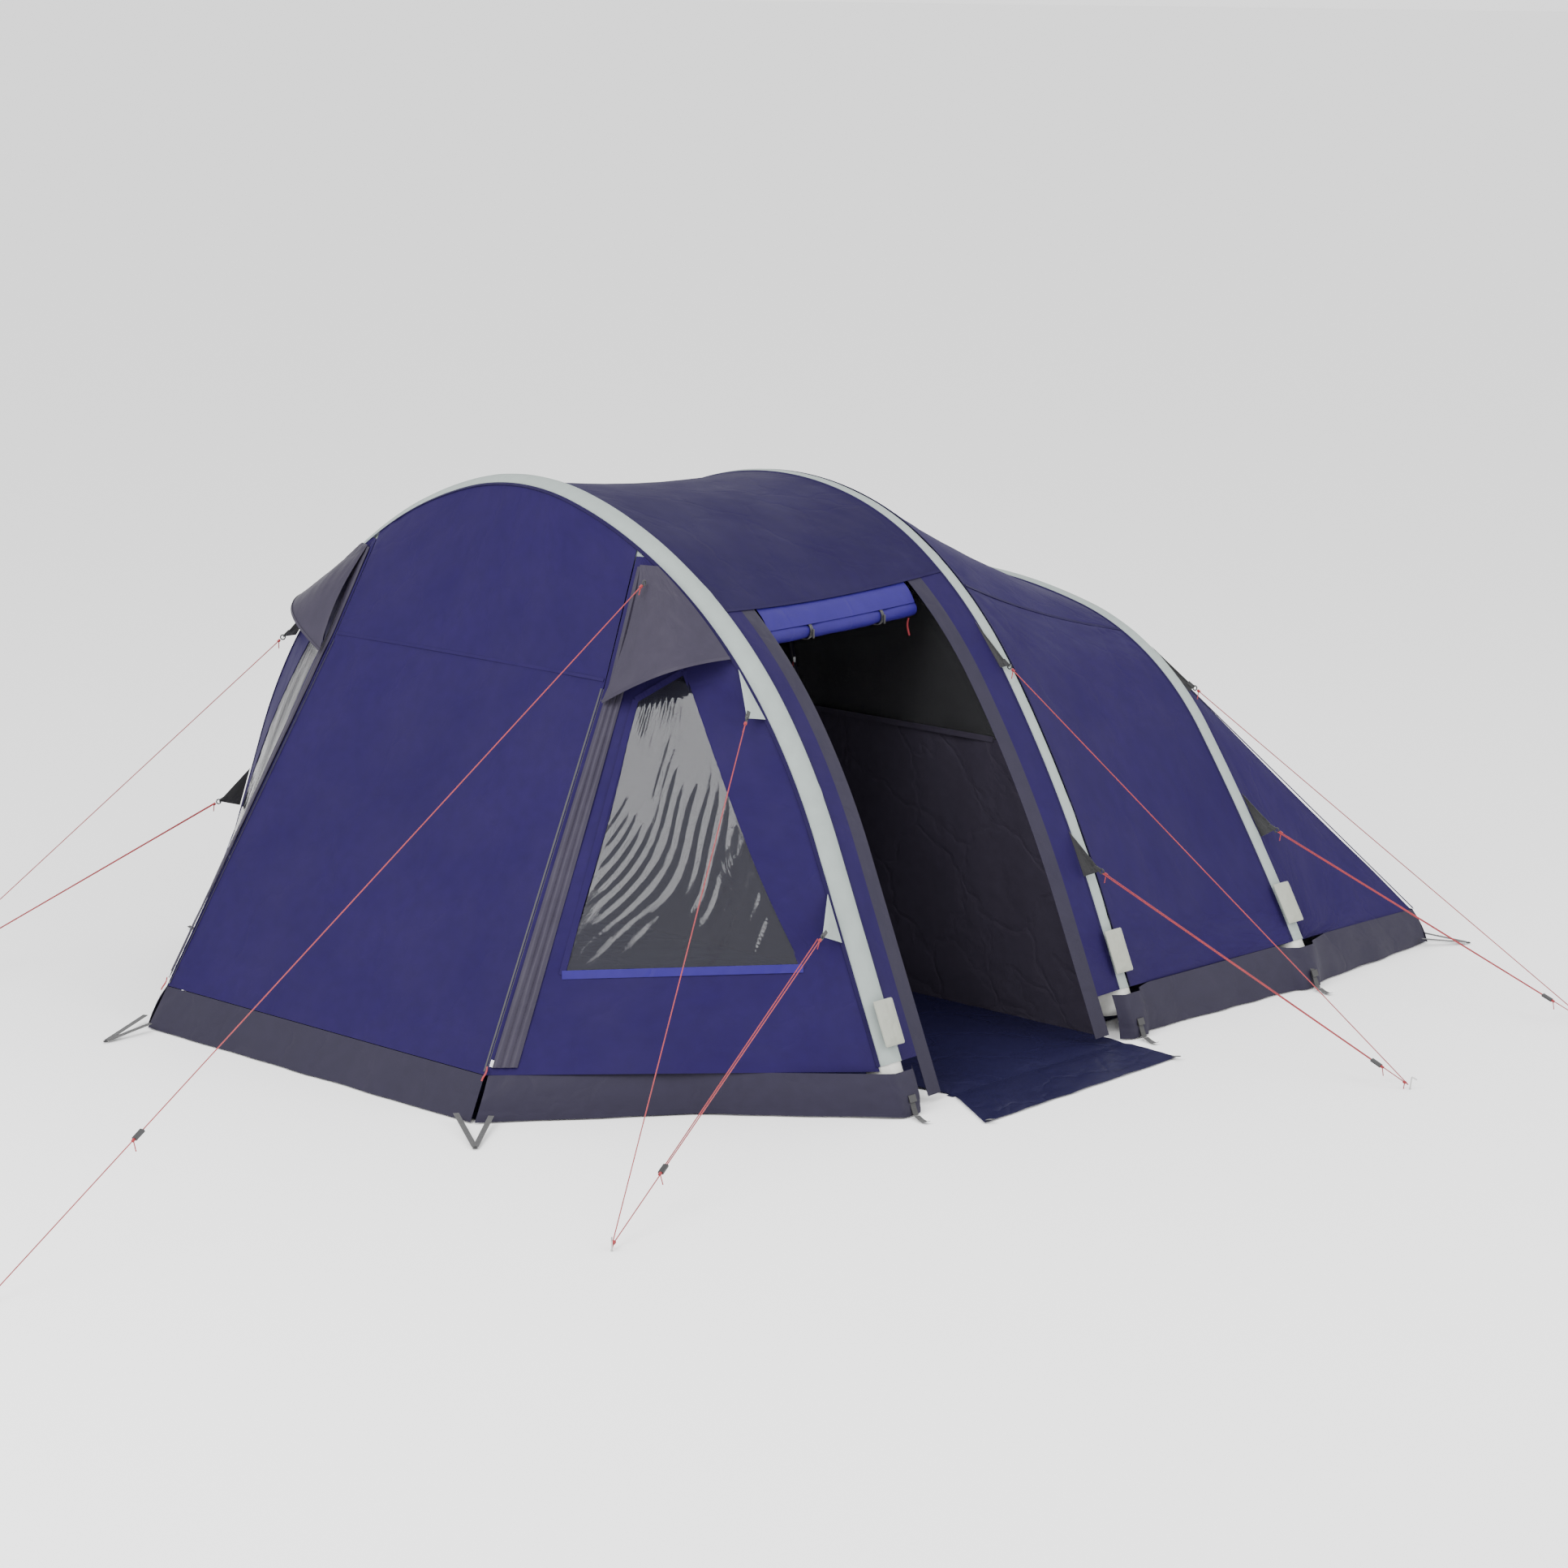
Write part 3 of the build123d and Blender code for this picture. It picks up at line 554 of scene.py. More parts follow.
def panel(name, cells, size, place, slot, stands_for=(), held="stretched", body="tent", **cloth):
    """A finished sheet of cloth, cut to size = (width, length) in metres."""
    piece = finish_piece(lay_cloth(name, cells, size, place, **cloth), slot, body, stands_for)
    return declare_sheet(piece, size)


# %% [markdown]
# ## The roof and the walls
# Between two beams the fly is one continuous curve, sewn to both sleeves and cut so that it dips a little
# in the middle. The roof is a darker cloth than the walls, and a flat seam joins them. On the door side the
# front bay has only two strips of blue cloth, with a slate strip along each that holds the door's zip.

# %% The fly between the beams
ROOF_STATION = 2.2
REAR_ROOF = (2.35, 1.6)
JAMBS = (0.07, 0.13, 0.85, 0.91)
FLY_DIP = 0.030


def bay(first, second, near, far, part):
    """A point of the fly between two beams: part 0 is on the first beam's seam."""
    here, there = seam(first, 1, near), seam(second, -1, far)
    return here.lerp(there, part) - outward(first, near) * (4 * part * (1 - part) * FLY_DIP)


def wall(first, second, tops, side, start=0.0, stop=1.0, foot=5.0):
    """A function that places a wall: across it is from its top edge down, and along it from beam to beam."""
    def place(across, along):
        near, far = (down_wall(top, across) for top in tops)
        if across > 0.999:
            near = far = foot
        return bay(first, second, side * near, side * far, mix(start, stop, along))
    return place


panel("front_roof", (96, 48), (2.30, 1.27),
      lambda u, v: bay("front", "middle", *(mix(-ROOF_STATION, ROOF_STATION, u),) * 2, v),
      "roof_fabric", ["roof_front"], amount=0.005, seed=1.3)
panel("rear_roof", (96, 42), (2.25, 1.05),
      lambda u, v: bay("middle", "rear", mix(-1, 1, u) * REAR_ROOF[0], mix(-1, 1, u) * REAR_ROOF[1], v),
      "fly_fabric", ["roof_rear"], amount=0.005, seed=4.1)
panel("left_front_wall", (80, 48), (1.76, 1.27), wall("front", "middle", (ROOF_STATION,) * 2, -1),
      "fly_fabric", ["wall_front_left"], amount=0.005, seed=7.7)
for side, name in SIDE_NAMES.items():
    panel(f"{name}_rear_wall", (84, 48), (1.72, 1.04), wall("middle", "rear", REAR_ROOF, side),
          "fly_fabric", [f"wall_rear_{name}"], amount=0.005, seed=11.0 + side)
for number, (start, stop) in enumerate(((0.0, JAMBS[0]), (JAMBS[3], 1.0))):
    panel(f"doorway_blue_strip_{number}", (80, 6), (1.76, 1.27 * (stop - start)),
          wall("front", "middle", (ROOF_STATION,) * 2, 1, start, stop), "fly_fabric", ["doorway_strips"],
          amount=0.002, seed=21.0 + number)
for number, (start, stop) in enumerate((JAMBS[:2], JAMBS[2:])):
    panel(f"doorway_slate_strip_{number}", (84, 6), (1.88, 1.27 * (stop - start)),
          wall("front", "middle", (ROOF_STATION,) * 2, 1, start, stop, 5.9), "skirt_fabric", ["doorway_jambs"],
          amount=0.002, seed=31.0 + number)

# %% [markdown]
# ## The rear slope
# Behind the last beam the fly runs straight down to the rear hem, and a hip on each side turns it back to
# the beam's foot. It is one panel, whose lower edge follows the hem round both corners.

# %% The rear slope
HIP = 2.3
REAR_CORNER = Vector((1.735, 2.160, HEM))


def slope(station, part, inset=0.0):
    """A point of the rear slope: part 0 is on the rear beam's seam, and part 1 on the hem."""
    side, count = math.copysign(1, station), abs(station)
    top = seam("rear", 1, count) - outward("rear", count) * inset
    foot = seam("rear", 1, 5)
    if count <= HIP:
        low = Vector((REAR_CORNER.x * count / HIP, REAR_CORNER.y, HEM))
    else:
        low = REAR_CORNER.lerp(foot, (count - HIP) / (5 - HIP))
    low -= Vector((inset * low.x / REAR_CORNER.x, inset, 0))
    point = top.lerp(low, part)
    return Vector((side * point.x, point.y, point.z))


panel("rear_slope_cloth", (140, 44), (4.60, 1.46), lambda u, v: slope(mix(-4.97, 4.97, u), v),
      "fly_fabric", ["rear_slope"], amount=0.006, seed=41.0)
print("rear slope, crown to hem", round((slope(0, 0) - slope(0, 1)).length, 2), "m")

# %% [markdown]
# ## The porch
# The fly leans forward from the front beam to the hem. Its front is a door in one piece of cloth, which can
# be lifted at the fold across it, and a triangular wall on each side holds a clear window. A wall is laid
# on a net of sixteen points, so that the window is its middle cell and can be left out of the cloth.

# %% The porch's corners
DOOR_STATIONS = {1: 1.6, -1: -1.85}
FOLDS = {1: Vector((0.700, -1.400, 1.400)), -1: Vector((-0.760, -1.400, 1.400))}
CORNER = (0.890, 2.235)
PORCH_TOP = {side: seam("front", -1, station).z - 0.025 for side, station in DOOR_STATIONS.items()}
WINDOW_MARKS = (0.16, 0.80)


def corner(side, height):
    """A point of the porch's front corner, from the beam down over the fold to the ground."""
    top, ground = seam("front", -1, DOOR_STATIONS[side]), Vector((side * CORNER[0], -CORNER[1], 0))
    high, low = (top, FOLDS[side]) if height > FOLDS[side].z else (FOLDS[side], ground)
    return high.lerp(low, (high.z - height) / (high.z - low.z))


def porch(side, height, part):
    """A point of a porch side wall, from its corner (part 0) to the front beam (part 1)."""
    start = corner(side, height)
    return start.lerp(seam("front", -1, side * station_at("front", -1, height)), part)


def porch_out(side):
    low, high = porch(side, 0.4, 0), porch(side, 1.3, 0.5)
    return (porch(side, 0.4, 1) - low).cross(high - low).normalized() * side


def wall_net(side):
    """The heights and parts of a side wall's sixteen points, with the window in the middle."""
    top = PORCH_TOP[side]
    return (((top, 0.0), (top, 0.33), (top, 0.66), (top, 1.0)),
            ((1.300, 0.0), (1.351, 0.22), (1.455, 0.57), (1.500, 1.0)),
            ((0.470, 0.0), (0.463, 0.136), (0.490, 0.86), (0.500, 1.0)),
            ((0.150, 0.0), (0.150, 0.136), (0.150, 0.80), (0.150, 1.0)))


def in_window(u, v):
    return all(WINDOW_MARKS[0] < share < WINDOW_MARKS[1] for share in (u, v))


def on_wall(side, lift=0.0):
    """A function that places the points of a porch side wall."""
    marks, net = (0.0, *WINDOW_MARKS, 1.0), wall_net(side)

    def place(u, v):
        column = 0 if u < marks[1] else 1 if u < marks[2] else 2
        row = 0 if v < marks[1] else 1 if v < marks[2] else 2
        across = (u - marks[column]) / (marks[column + 1] - marks[column])
        down = (v - marks[row]) / (marks[row + 1] - marks[row])
        corners = [net[row + r][column + c] for r in (0, 1) for c in (0, 1)]
        height, part = (
            mix(mix(corners[0][i], corners[1][i], across), mix(corners[2][i], corners[3][i], across), down)
            for i in (0, 1)
        )
        return porch(side, height, part) + porch_out(side) * lift
    return place


# %% The porch walls and windows
PORCH_LOOK = (0, -1.0, 0.6)
for side, name in SIDE_NAMES.items():
    panel(f"porch_wall_{name}_cloth", (50, 75), (1.15, 1.85), on_wall(side), "fly_fabric", [f"porch_wall_{name}"],
          keep=lambda u, v: not in_window(u, v), amount=0.003, seed=51.0 + side, facing=PORCH_LOOK)


def window_wrinkle(u, v, seed):
    """Slanting wrinkles in the film, like those of a pulled plastic sheet."""
    slant = (u * 0.9 + v * 1.1) * 34 + 3.0 * noise.noise((u * 3 + seed, v * 3, seed))
    fine = noise.noise(((u + v) * 16 + seed, (u - v) * 3, seed))
    edge = min(u - WINDOW_MARKS[0], WINDOW_MARKS[1] - u, v - WINDOW_MARKS[0], WINDOW_MARKS[1] - v)
    return (0.0030 * math.sin(slant * math.pi) * (0.4 + noise.noise((u * 5, v * 5, seed))) + 0.0018 * fine) * min(
        max(edge, 0) / 0.05, 1)


for side, name in SIDE_NAMES.items():
    smooth = on_wall(side, -0.002)
    out = porch_out(side)
    pane = lay_cloth(f"porch_window_{name}", (110, 120), (0.9, 1.2),
                     lambda u, v: smooth(u, v) + out * window_wrinkle(u, v, side * 3.0),
                     amount=0, keep=in_window, thick=0.0006, facing=PORCH_LOOK)
    finish_piece(pane, "window_film", "tent", ["porch_windows"])
    declare_sheet(pane, (0.60, 1.04))


# %% [markdown]
# ## Tapes and straps
# Bindings, seams, webbing and zips are all flat strips that follow a line. A strip is laid like a cloth
# panel, two or more cells wide, with its own up direction at each point of the line.

# %% A strip along a line
def along(points, share):
    """The point at a share of a line's length."""
    points = [Vector(point) for point in points]
    steps = [(b - a).length for a, b in zip(points, points[1:])]
    left = share * sum(steps)
    for a, b, step in zip(points, points[1:], steps):
        if left <= step or b is points[-1]:
            return a.lerp(b, left / step if step else 0)
        left -= step


def tape(name, line, width, up, slot, cells=(2, 60), thick=0.0015, body="tent", stands_for=(), lift=0.0, wave=0.0):
    """A strip that follows line(share), lying square to up(share)."""
    def place(u, v):
        here, ahead = line(max(v - 0.004, 0)), line(min(v + 0.004, 1))
        rise = up(v).normalized() if callable(up) else Vector(up).normalized()
        square = (ahead - here).cross(rise).normalized()
        ripple = wave * noise.noise((v * 40, u * 2, width * 90))
        return line(v) + square * (u - 0.5) * width + rise * (lift + ripple)

    deselect()
    bpy.ops.mesh.primitive_grid_add(x_subdivisions=cells[0], y_subdivisions=cells[1], size=1)
    piece = bpy.context.object
    piece.name = piece.data.name = name
    length = sum((line(n / 40 + 0.025) - line(n / 40)).length for n in range(40))
    for spot in piece.data.uv_layers[0].data:
        spot.uv = (spot.uv[0] * width, spot.uv[1] * length)
    for vertex in piece.data.vertices:
        vertex.co = place(vertex.co.x + 0.5, vertex.co.y + 0.5)
    wall = piece.modifiers.new("thickness", "SOLIDIFY")
    wall.thickness = thick
    wall.offset = 0
    apply_all(piece)
    bpy.ops.object.shade_smooth_by_angle(angle=math.radians(50))
    return finish_piece(piece, slot, body, stands_for)


# %% Window bindings and the walls' own bindings
for side, name in SIDE_NAMES.items():
    rim = on_wall(side)
    low, high = WINDOW_MARKS
    ring = [rim(low, low), rim(high, low), rim(high, high), rim(low, high), rim(low, low)]
    for number, (a, b) in enumerate(zip(ring, ring[1:])):
        slot = "roll_fabric" if number == 2 else "fly_fabric"
        tape(f"window_binding_{name}_{number}", lambda v, a=a, b=b: a.lerp(b, v), 0.030 if number == 2 else 0.022,
             porch_out(side), slot, lift=0.002, wave=0.002)

# %% [markdown]
# ## The front door
# The door's upper part follows the beam's curve, and below the fold it is flat down to the hem. It is laid
# as one cloth, which stays where it is laid, and the slate skirt below it goes with the moving part.

# %% The front door
DOOR_FOLD_SHARE = 0.30


def door(u, v):
    top = seam("front", -1, mix(DOOR_STATIONS[-1] + 0.01, DOOR_STATIONS[1] - 0.01, u))
    fold = FOLDS[-1].lerp(FOLDS[1], mix(0.003, 0.997, u))
    if v <= DOOR_FOLD_SHARE:
        return top.lerp(fold, v / DOOR_FOLD_SHARE)
    height = mix(1.4, HEM, (v - DOOR_FOLD_SHARE) / (1 - DOOR_FOLD_SHARE))
    return corner(-1, height).lerp(corner(1, height), mix(0.003, 0.997, u))


cloth = lay_cloth("front_door_cloth", (72, 96), (1.60, 2.05), door, amount=0.004, seed=61.0, facing=PORCH_LOOK)
finish_piece(cloth, "fly_fabric", None, ["front_door_upper", "front_door_lower"])
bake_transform(cloth)
declare_sheet(cloth, (1.75, 2.10))
tape("front_door_fold_seam", lambda v: door(mix(0.004, 0.996, v), DOOR_FOLD_SHARE * 0.985), 0.012,
     (0, -0.8, 0.5), "fly_fabric", lift=0.003)


def door_skirt(u, v):
    height = mix(HEM - 0.002, 0.004, v)
    point = corner(-1, height).lerp(corner(1, height), mix(0.003, 0.997, u))
    ripple = 0.010 * v * noise.noise((u * 9, 3.0, 1.0))
    return point + Vector((0, ripple, 0))


panel("front_door_skirt_cloth", (72, 8), (1.74, 0.17), door_skirt, "skirt_fabric", ["front_door_skirt"], held="hung",
      body="front_door_panel", amount=0.002, seed=67.0, facing=PORCH_LOOK)
print("front door", round((door(0.5, 0) - door(0.5, 1)).length, 2), "m from beam to hem")

# %% [markdown]
# ## Zip covers, zips and hoods
# A pleated slate strip covers each door zip and widens towards the ground. Over each window a hood of the
# same slate cloth is fixed along the corner and the beam, and stands out between them, so rain runs off it.
# Its underside is lined with the fly's blue.

# %% Zip covers and zips
COVER_PLEATS = 3
for side, name in SIDE_NAMES.items():
    out = porch_out(side)

    def cover(u, v, side=side, out=out):
        height = mix(PORCH_TOP[side] - 0.035, 0.172, v)
        whole = (porch(side, height, 1) - corner(side, height)).length
        wide = min(mix(0.055, 0.088, v), 0.7 * whole)
        pleat = 0.006 * abs(math.sin(u * math.pi * COVER_PLEATS)) + 0.002 * noise.noise((u * 5, v * 14, side))
        return porch(side, height, (0.014 + u * wide) / whole) + out * (0.006 + pleat)

    panel(f"zip_cover_{name}_cloth", (24, 80), (0.075, 1.72), cover, "cover_fabric", ["zip_covers"], held="gathered",
          amount=0, facing=PORCH_LOOK)
    tape(f"front_door_zip_{name}", lambda v, side=side: corner(side, mix(1.38, 0.16, v)), 0.024, out,
         "black_plastic", lift=-0.006, stands_for=["front_door_zips"], cells=(4, 60))


# %% Window hoods
def hood(side):
    high = PORCH_TOP[side] - 0.030
    out = porch_out(side)

    def place(u, v):
        left = corner(side, mix(high, 1.330, v))
        right = seam("front", -1, side * station_at("front", -1, mix(high, 1.506, v)))
        part = mix(0.02 + 0.22 * (1 - v), 0.985, u)
        bulge = 0.014 + 0.125 * v ** 1.3 * math.sin(math.pi * part) ** 0.9
        return left.lerp(right, part) + out * bulge
    return place


for side, name in SIDE_NAMES.items():
    panel(f"window_hood_{name}", (44, 34), (0.50, 0.46), hood(side), "cover_fabric", ["window_hoods"],
          amount=0.002, seed=71.0 + side, facing=PORCH_LOOK)
    shape = hood(side)
    lining = lay_cloth(f"hood_lining_{name}", (40, 6), (0.45, 0.06), lambda u, v: shape(mix(0.02, 0.98, u),
                       mix(0.80, 0.985, v)) - porch_out(side) * 0.004, amount=0.001, facing=PORCH_LOOK)
    declare_sheet(finish_piece(lining, "fly_fabric"), (0.50, 0.09))
    tape(f"hood_edge_{name}", lambda v: shape(v, 1.0), 0.012, porch_out(side), "cover_fabric")
    prop_top = shape(0.5, 0.97) - porch_out(side) * 0.006
    prop_foot = on_wall(side)(0.42, 0.145) + porch_out(side) * 0.006
    tape(f"hood_prop_{name}", lambda v: prop_top.lerp(prop_foot, v), 0.022, (0, -0.4, 0.9), "cover_fabric",
         cells=(2, 8), thick=0.002)
print("hoods stand out", round((hood(1)(0.5, 1) - porch(1, 1.42, 0.5)).length, 3), "m")

# %% [markdown]
# ## The beam sleeves
# A sleeve is a tube of pale cloth, pulled tight by the beam inside it. The fly's seams nip it in on both
# sides, and where the sleeve's own lengths are joined there is a narrow double hem right round it. A
# cylinder is added for each beam, cut into rings, and its rings are moved onto the arch.

# %% Beam sleeves
SLEEVE_RINGS, SLEEVE_SIDES = 260, 40
SLEEVE_JOINS = (2.05, 3.6)


def sleeve_radius(beam, angle, station):
    """A sleeve's radius: smooth, with puckers along the seams and a hem at each join."""
    radius = SLEEVE
    for facing in (-1, 1):
        seam_angle = facing * math.radians(SEAM_ANGLES[facing][beam])
        away = abs((angle - seam_angle + math.pi) % (2 * math.pi) - math.pi)
        pucker = noise.noise((station * 9, facing * 5, len(beam)))
        radius += math.exp(-((away / 0.16) ** 2)) * (-0.0045 + 0.003 * pucker)
    for join in SLEEVE_JOINS:
        apart = abs(abs(station) - join)
        radius += 0.0022 * math.exp(-((apart / 0.035) ** 2)) - 0.002 * math.exp(-((apart / 0.012) ** 2))
    return radius + 0.0012 * noise.noise((station * 3, math.cos(angle) * 2, math.sin(angle) * 2))


def tube_on_arch(name, beam, reach, rings, sides, radius_at):
    """A cylinder cut into rings, with each ring moved to its station on an arch."""
    deselect()
    bpy.ops.mesh.primitive_cylinder_add(vertices=sides, radius=1, depth=2, end_fill_type="NOTHING")
    piece = bpy.context.object
    piece.name = piece.data.name = name
    bpy.ops.object.mode_set(mode="EDIT")
    bpy.ops.mesh.select_mode(type="EDGE")
    bpy.ops.mesh.select_all(action="DESELECT")
    bpy.ops.object.mode_set(mode="OBJECT")
    for edge in piece.data.edges:
        a, b = (piece.data.vertices[v].co for v in edge.vertices)
        edge.select = abs(a.z - b.z) > 1
    bpy.ops.object.mode_set(mode="EDIT")
    bpy.ops.mesh.subdivide_edgering(number_cuts=rings - 1, interpolation="LINEAR", smoothness=0)
    bpy.ops.object.mode_set(mode="OBJECT")
    for vertex in piece.data.vertices:
        station, angle = vertex.co.z * reach, math.atan2(vertex.co.y, vertex.co.x)
        radius = radius_at(angle, station)
        vertex.co = arch(beam, station, radius * math.cos(angle), radius * math.sin(angle))
    length = 2 * sum(radius * math.radians(turned) for radius, turned in ARCHES[beam][2]) + 1.5
    for spot in piece.data.uv_layers[0].data:
        spot.uv = (spot.uv[0] * 2 * math.pi * SLEEVE, spot.uv[1] * length)
    bpy.ops.object.mode_set(mode="EDIT")
    bpy.ops.mesh.select_all(action="SELECT")
    bpy.ops.mesh.normals_make_consistent(inside=False)
    bpy.ops.object.mode_set(mode="OBJECT")
    piece["cloth_area"] = sum(face.area for face in piece.data.polygons)
    wall = piece.modifiers.new("thickness", "SOLIDIFY")
    wall.thickness = 0.0015
    wall.offset = -1
    apply_all(piece)
    bpy.ops.object.shade_smooth_by_angle(angle=math.radians(50))
    return piece, length


def bladder_radius(angle, station):
    """A beam's radius: firm, with a welded seam along it, and closed at both ends."""
    end = min(max((abs(station) - 5.42) / 0.13, 0), 1)
    weld = 0.0008 * math.exp(-((abs(angle) / 0.05) ** 2))
    return (0.0635 + weld) * math.sqrt(max(1 - end * end, 0.0004))


for beam in ARCHES:
    piece, length = tube_on_arch(f"{beam}_sleeve_cloth", beam, 5, SLEEVE_RINGS, SLEEVE_SIDES,
                                 lambda angle, station, beam=beam: sleeve_radius(beam, angle, station))
    finish_piece(piece, "sleeve_fabric", "tent", [f"beam_sleeve_{beam}"])
    declare_sheet(piece, (2 * math.pi * SLEEVE, length))
    piece, length = tube_on_arch(f"{beam}_beam_film", beam, 5.55, 220, 28, bladder_radius)
    finish_piece(piece, "bladder_film", "tent", [f"air_beam_{beam}"])
    declare_sheet(piece, (2 * math.pi * SLEEVE, length))
    for facing in (-1, 1):
        tape(f"{beam}_seam_{'front' if facing < 0 else 'back'}",
             lambda v, beam=beam, facing=facing: seam(beam, facing, mix(-5, 5, v), 0.0715), 0.015,
             lambda v, beam=beam, facing=facing: outward(beam, mix(-5, 5, v)) * 0.9 + Vector((0, 0.4 * facing, 0)),
             "roof_fabric", cells=(2, 150), thick=0.003)
print("sleeves laid")

# %% [markdown]
# ## Valve flaps and valves
# Low on each beam a padded flap of cream cloth covers the valve. It hangs from its top edge, so it rides on
# its own body. It is a pillow: two layers that bulge apart, with a sewn rim. The valve and its screw cap
# keep their own shapes and only get moulded plastic.

# %% Valve flaps
FLAP_SIZE = (0.094, 0.164)
VALVE_HEIGHT = 0.285


def leg_place(beam, up, across, out):
    """A point on the right leg of a beam: up the leg from the valve, across it, and out of it."""
    top, foot = arch(beam, 4), arch(beam, 5)
    leg = (top - foot).normalized()
    valve = top.lerp(foot, (top.z - VALVE_HEIGHT) / (top.z - foot.z))
    return valve + leg * up + Vector((0, across, 0)) + outward(beam, 4.5) * out


def valve_flap(beam):
    def skin(lift):
        def place(u, v):
            across, up = (u - 0.5) * FLAP_SIZE[0], (0.5 - v) * FLAP_SIZE[1] - 0.008
            rim = min(u, 1 - u, v * 1.6, (1 - v) * 1.6)
            puff = lift * min(rim / 0.22, 1) ** 0.6
            crumple = 0.0022 * noise.noise((u * 6, v * 9, lift * 50 + len(beam))) * min(rim / 0.1, 1)
            curl = 0.004 * (2 * u - 1) ** 2
            return leg_place(beam, up, across, SLEEVE + 0.0225 - curl + puff + crumple)
        return place

    layers = []
    for lift in (0.0075, -0.0005):
        deselect()
        bpy.ops.mesh.primitive_grid_add(x_subdivisions=26, y_subdivisions=40, size=1)
        layer = bpy.context.object
        for spot in layer.data.uv_layers[0].data:
            spot.uv = (spot.uv[0] * FLAP_SIZE[0], spot.uv[1] * FLAP_SIZE[1])
        place = skin(lift)
        for vertex in layer.data.vertices:
            vertex.co = place(vertex.co.x + 0.5, vertex.co.y + 0.5)
        layers.append(layer)
    deselect()
    for layer in layers:
        layer.select_set(True)
    bpy.context.view_layer.objects.active = layers[0]
    bpy.ops.object.join()
    piece = bpy.context.object
    piece.name = piece.data.name = f"valve_flap_pillow_{beam}"
    bpy.ops.object.mode_set(mode="EDIT")
    bpy.ops.mesh.select_all(action="SELECT")
    bpy.ops.mesh.remove_doubles(threshold=0.0012)
    bpy.ops.mesh.normals_make_consistent(inside=False)
    bpy.ops.object.mode_set(mode="OBJECT")
    bpy.ops.object.shade_smooth_by_angle(angle=math.radians(60))
    finish_piece(piece, "cream_fabric", f"valve_flap_{beam}", [f"valve_flap_{beam}"])
    for side, edge in (("front", 0.0), ("back", 1.0)):
        line = skin(0.0)
        tape(f"valve_flap_rim_{beam}_{side}", lambda v: line(mix(0.03, 0.97, edge), mix(0.02, 0.98, v)), 0.007,
             outward(beam, 4.5), "cream_fabric", cells=(4, 30), thick=0.003, body=f"valve_flap_{beam}")


for beam in ARCHES:
    valve_flap(beam)
print("flaps at", [tuple(round(c, 2) for c in leg_place(beam, 0, 0, SLEEVE)) for beam in ARCHES])

# %% [markdown]
# ## Skirts
# A slate skirt is sewn to the hem all round and lies on the ground at its lower edge. It is looser than the
# fly, so it hangs in shallow waves, and it goes round the outside of each beam's foot.

# %% Skirts
def foot_run(beam, reach, side=1):
    """Plan points of a skirt's edge round the outside of a beam's foot."""
    x, y = arch(beam, 5).x + (0.137 if reach else 0.092), ARCHES[beam][0]
    steps = ((0.034, -0.082), (0, -0.045), (0, 0.045), (0.034, 0.082))
    return [(side * (x - back), y + along_tent) for back, along_tent in steps]


def mirrored(run):
    return [(-x, *rest) for x, *rest in run]


def at_hem(run, height=HEM):
    return [Vector((*point, height)) if len(point) == 2 else Vector(point) for point in run]


def skirt_cloth(name, top, bottom, node, count, seed):
    """A skirt between two runs of points, at the hem and on the ground."""
    upper, lower = at_hem(top), at_hem(bottom, 0.004)
    middle = sum(upper, Vector()) / len(upper)
    length = sum((b - a).length for a, b in zip(lower, lower[1:]))

    def place(u, v):
        wide = 0.6 / (count * 0.5)
        high, low = (sum((along(run, min(max(u + step * wide, 0), 1)) for step in (-0.05, 0, 0.05)), Vector()) / 3
                     for run in (upper, lower))
        point = high.lerp(low, v)
        out = Vector((point.x, point.y * 0.3, 0)).normalized()
        wave = v * 0.014 * noise.noise((u * length * 7 + seed, seed, 0.5)) + 0.008 * math.sin(math.pi * v)
        point += out * (wave + 0.003 * (1 - v))
        point.z += 0.006 * (v > 0.98) * max(noise.noise((u * length * 4, seed, 2.0)), 0)
        return point
    return panel(name, (count, 10), (length, 0.18), place, "skirt_fabric", [node], held="hung", amount=0.0025,
                 seed=seed, facing=(0, middle.y * 0.9, 0.1))


def foot_top(beam):
    """The top of a skirt round a beam's foot, a little higher than the wall's hem."""
    return [Vector((*point, 0.164)) for point in foot_run(beam, 0)]


def hem_line(first, second, side=1):
    """Points of the hem between two beams, just outside the wall."""
    return [bay(first, second, 5 * side, 5 * side, part) + Vector((0.005 * side, 0, 0.002))
            for part in (0.1, 0.3, 0.5, 0.7, 0.9)]


hem_corner = corner(1, HEM)
porch_runs = ([(hem_corner.x + 0.006, hem_corner.y + 0.006), (1.300, -1.655)] + foot_run("front", 0),
              [(CORNER[0] + 0.010, 0.008 - CORNER[1]), (1.350, -1.630)] + foot_run("front", 1))
rear_runs = (
    foot_top("middle") + hem_line("middle", "rear") + foot_top("rear")
    + [slope(mix(4.9, HIP, part), 1) + Vector((0.004, 0, 0.004)) for part in (0.15, 0.5)]
    + [(REAR_CORNER.x, REAR_CORNER.y - 0.004)],
    foot_run("middle", 1) + foot_run("rear", 1) + [(1.765, 2.231)],
)
front_ends = (
    [foot_top("front")[3] + Vector((-0.004, 0.012, 0))] + mirrored(hem_line("front", "middle", -1)),
    [(foot_run("front", 1)[3][0] - 0.004, foot_run("front", 1)[3][1] + 0.012)],
)
skirt_cloth("porch_skirt_right_cloth", *porch_runs, "porch_skirts", 90, 81.0)
skirt_cloth("porch_skirt_left_cloth", *map(mirrored, porch_runs), "porch_skirts", 90, 83.0)
skirt_cloth("side_skirt_right_cloth", *rear_runs, "side_skirt_right", 120, 85.0)
skirt_cloth("side_skirt_left_cloth", *(mirrored(end + run) for end, run in zip(front_ends, rear_runs)),
            "side_skirt_left", 160, 87.0)
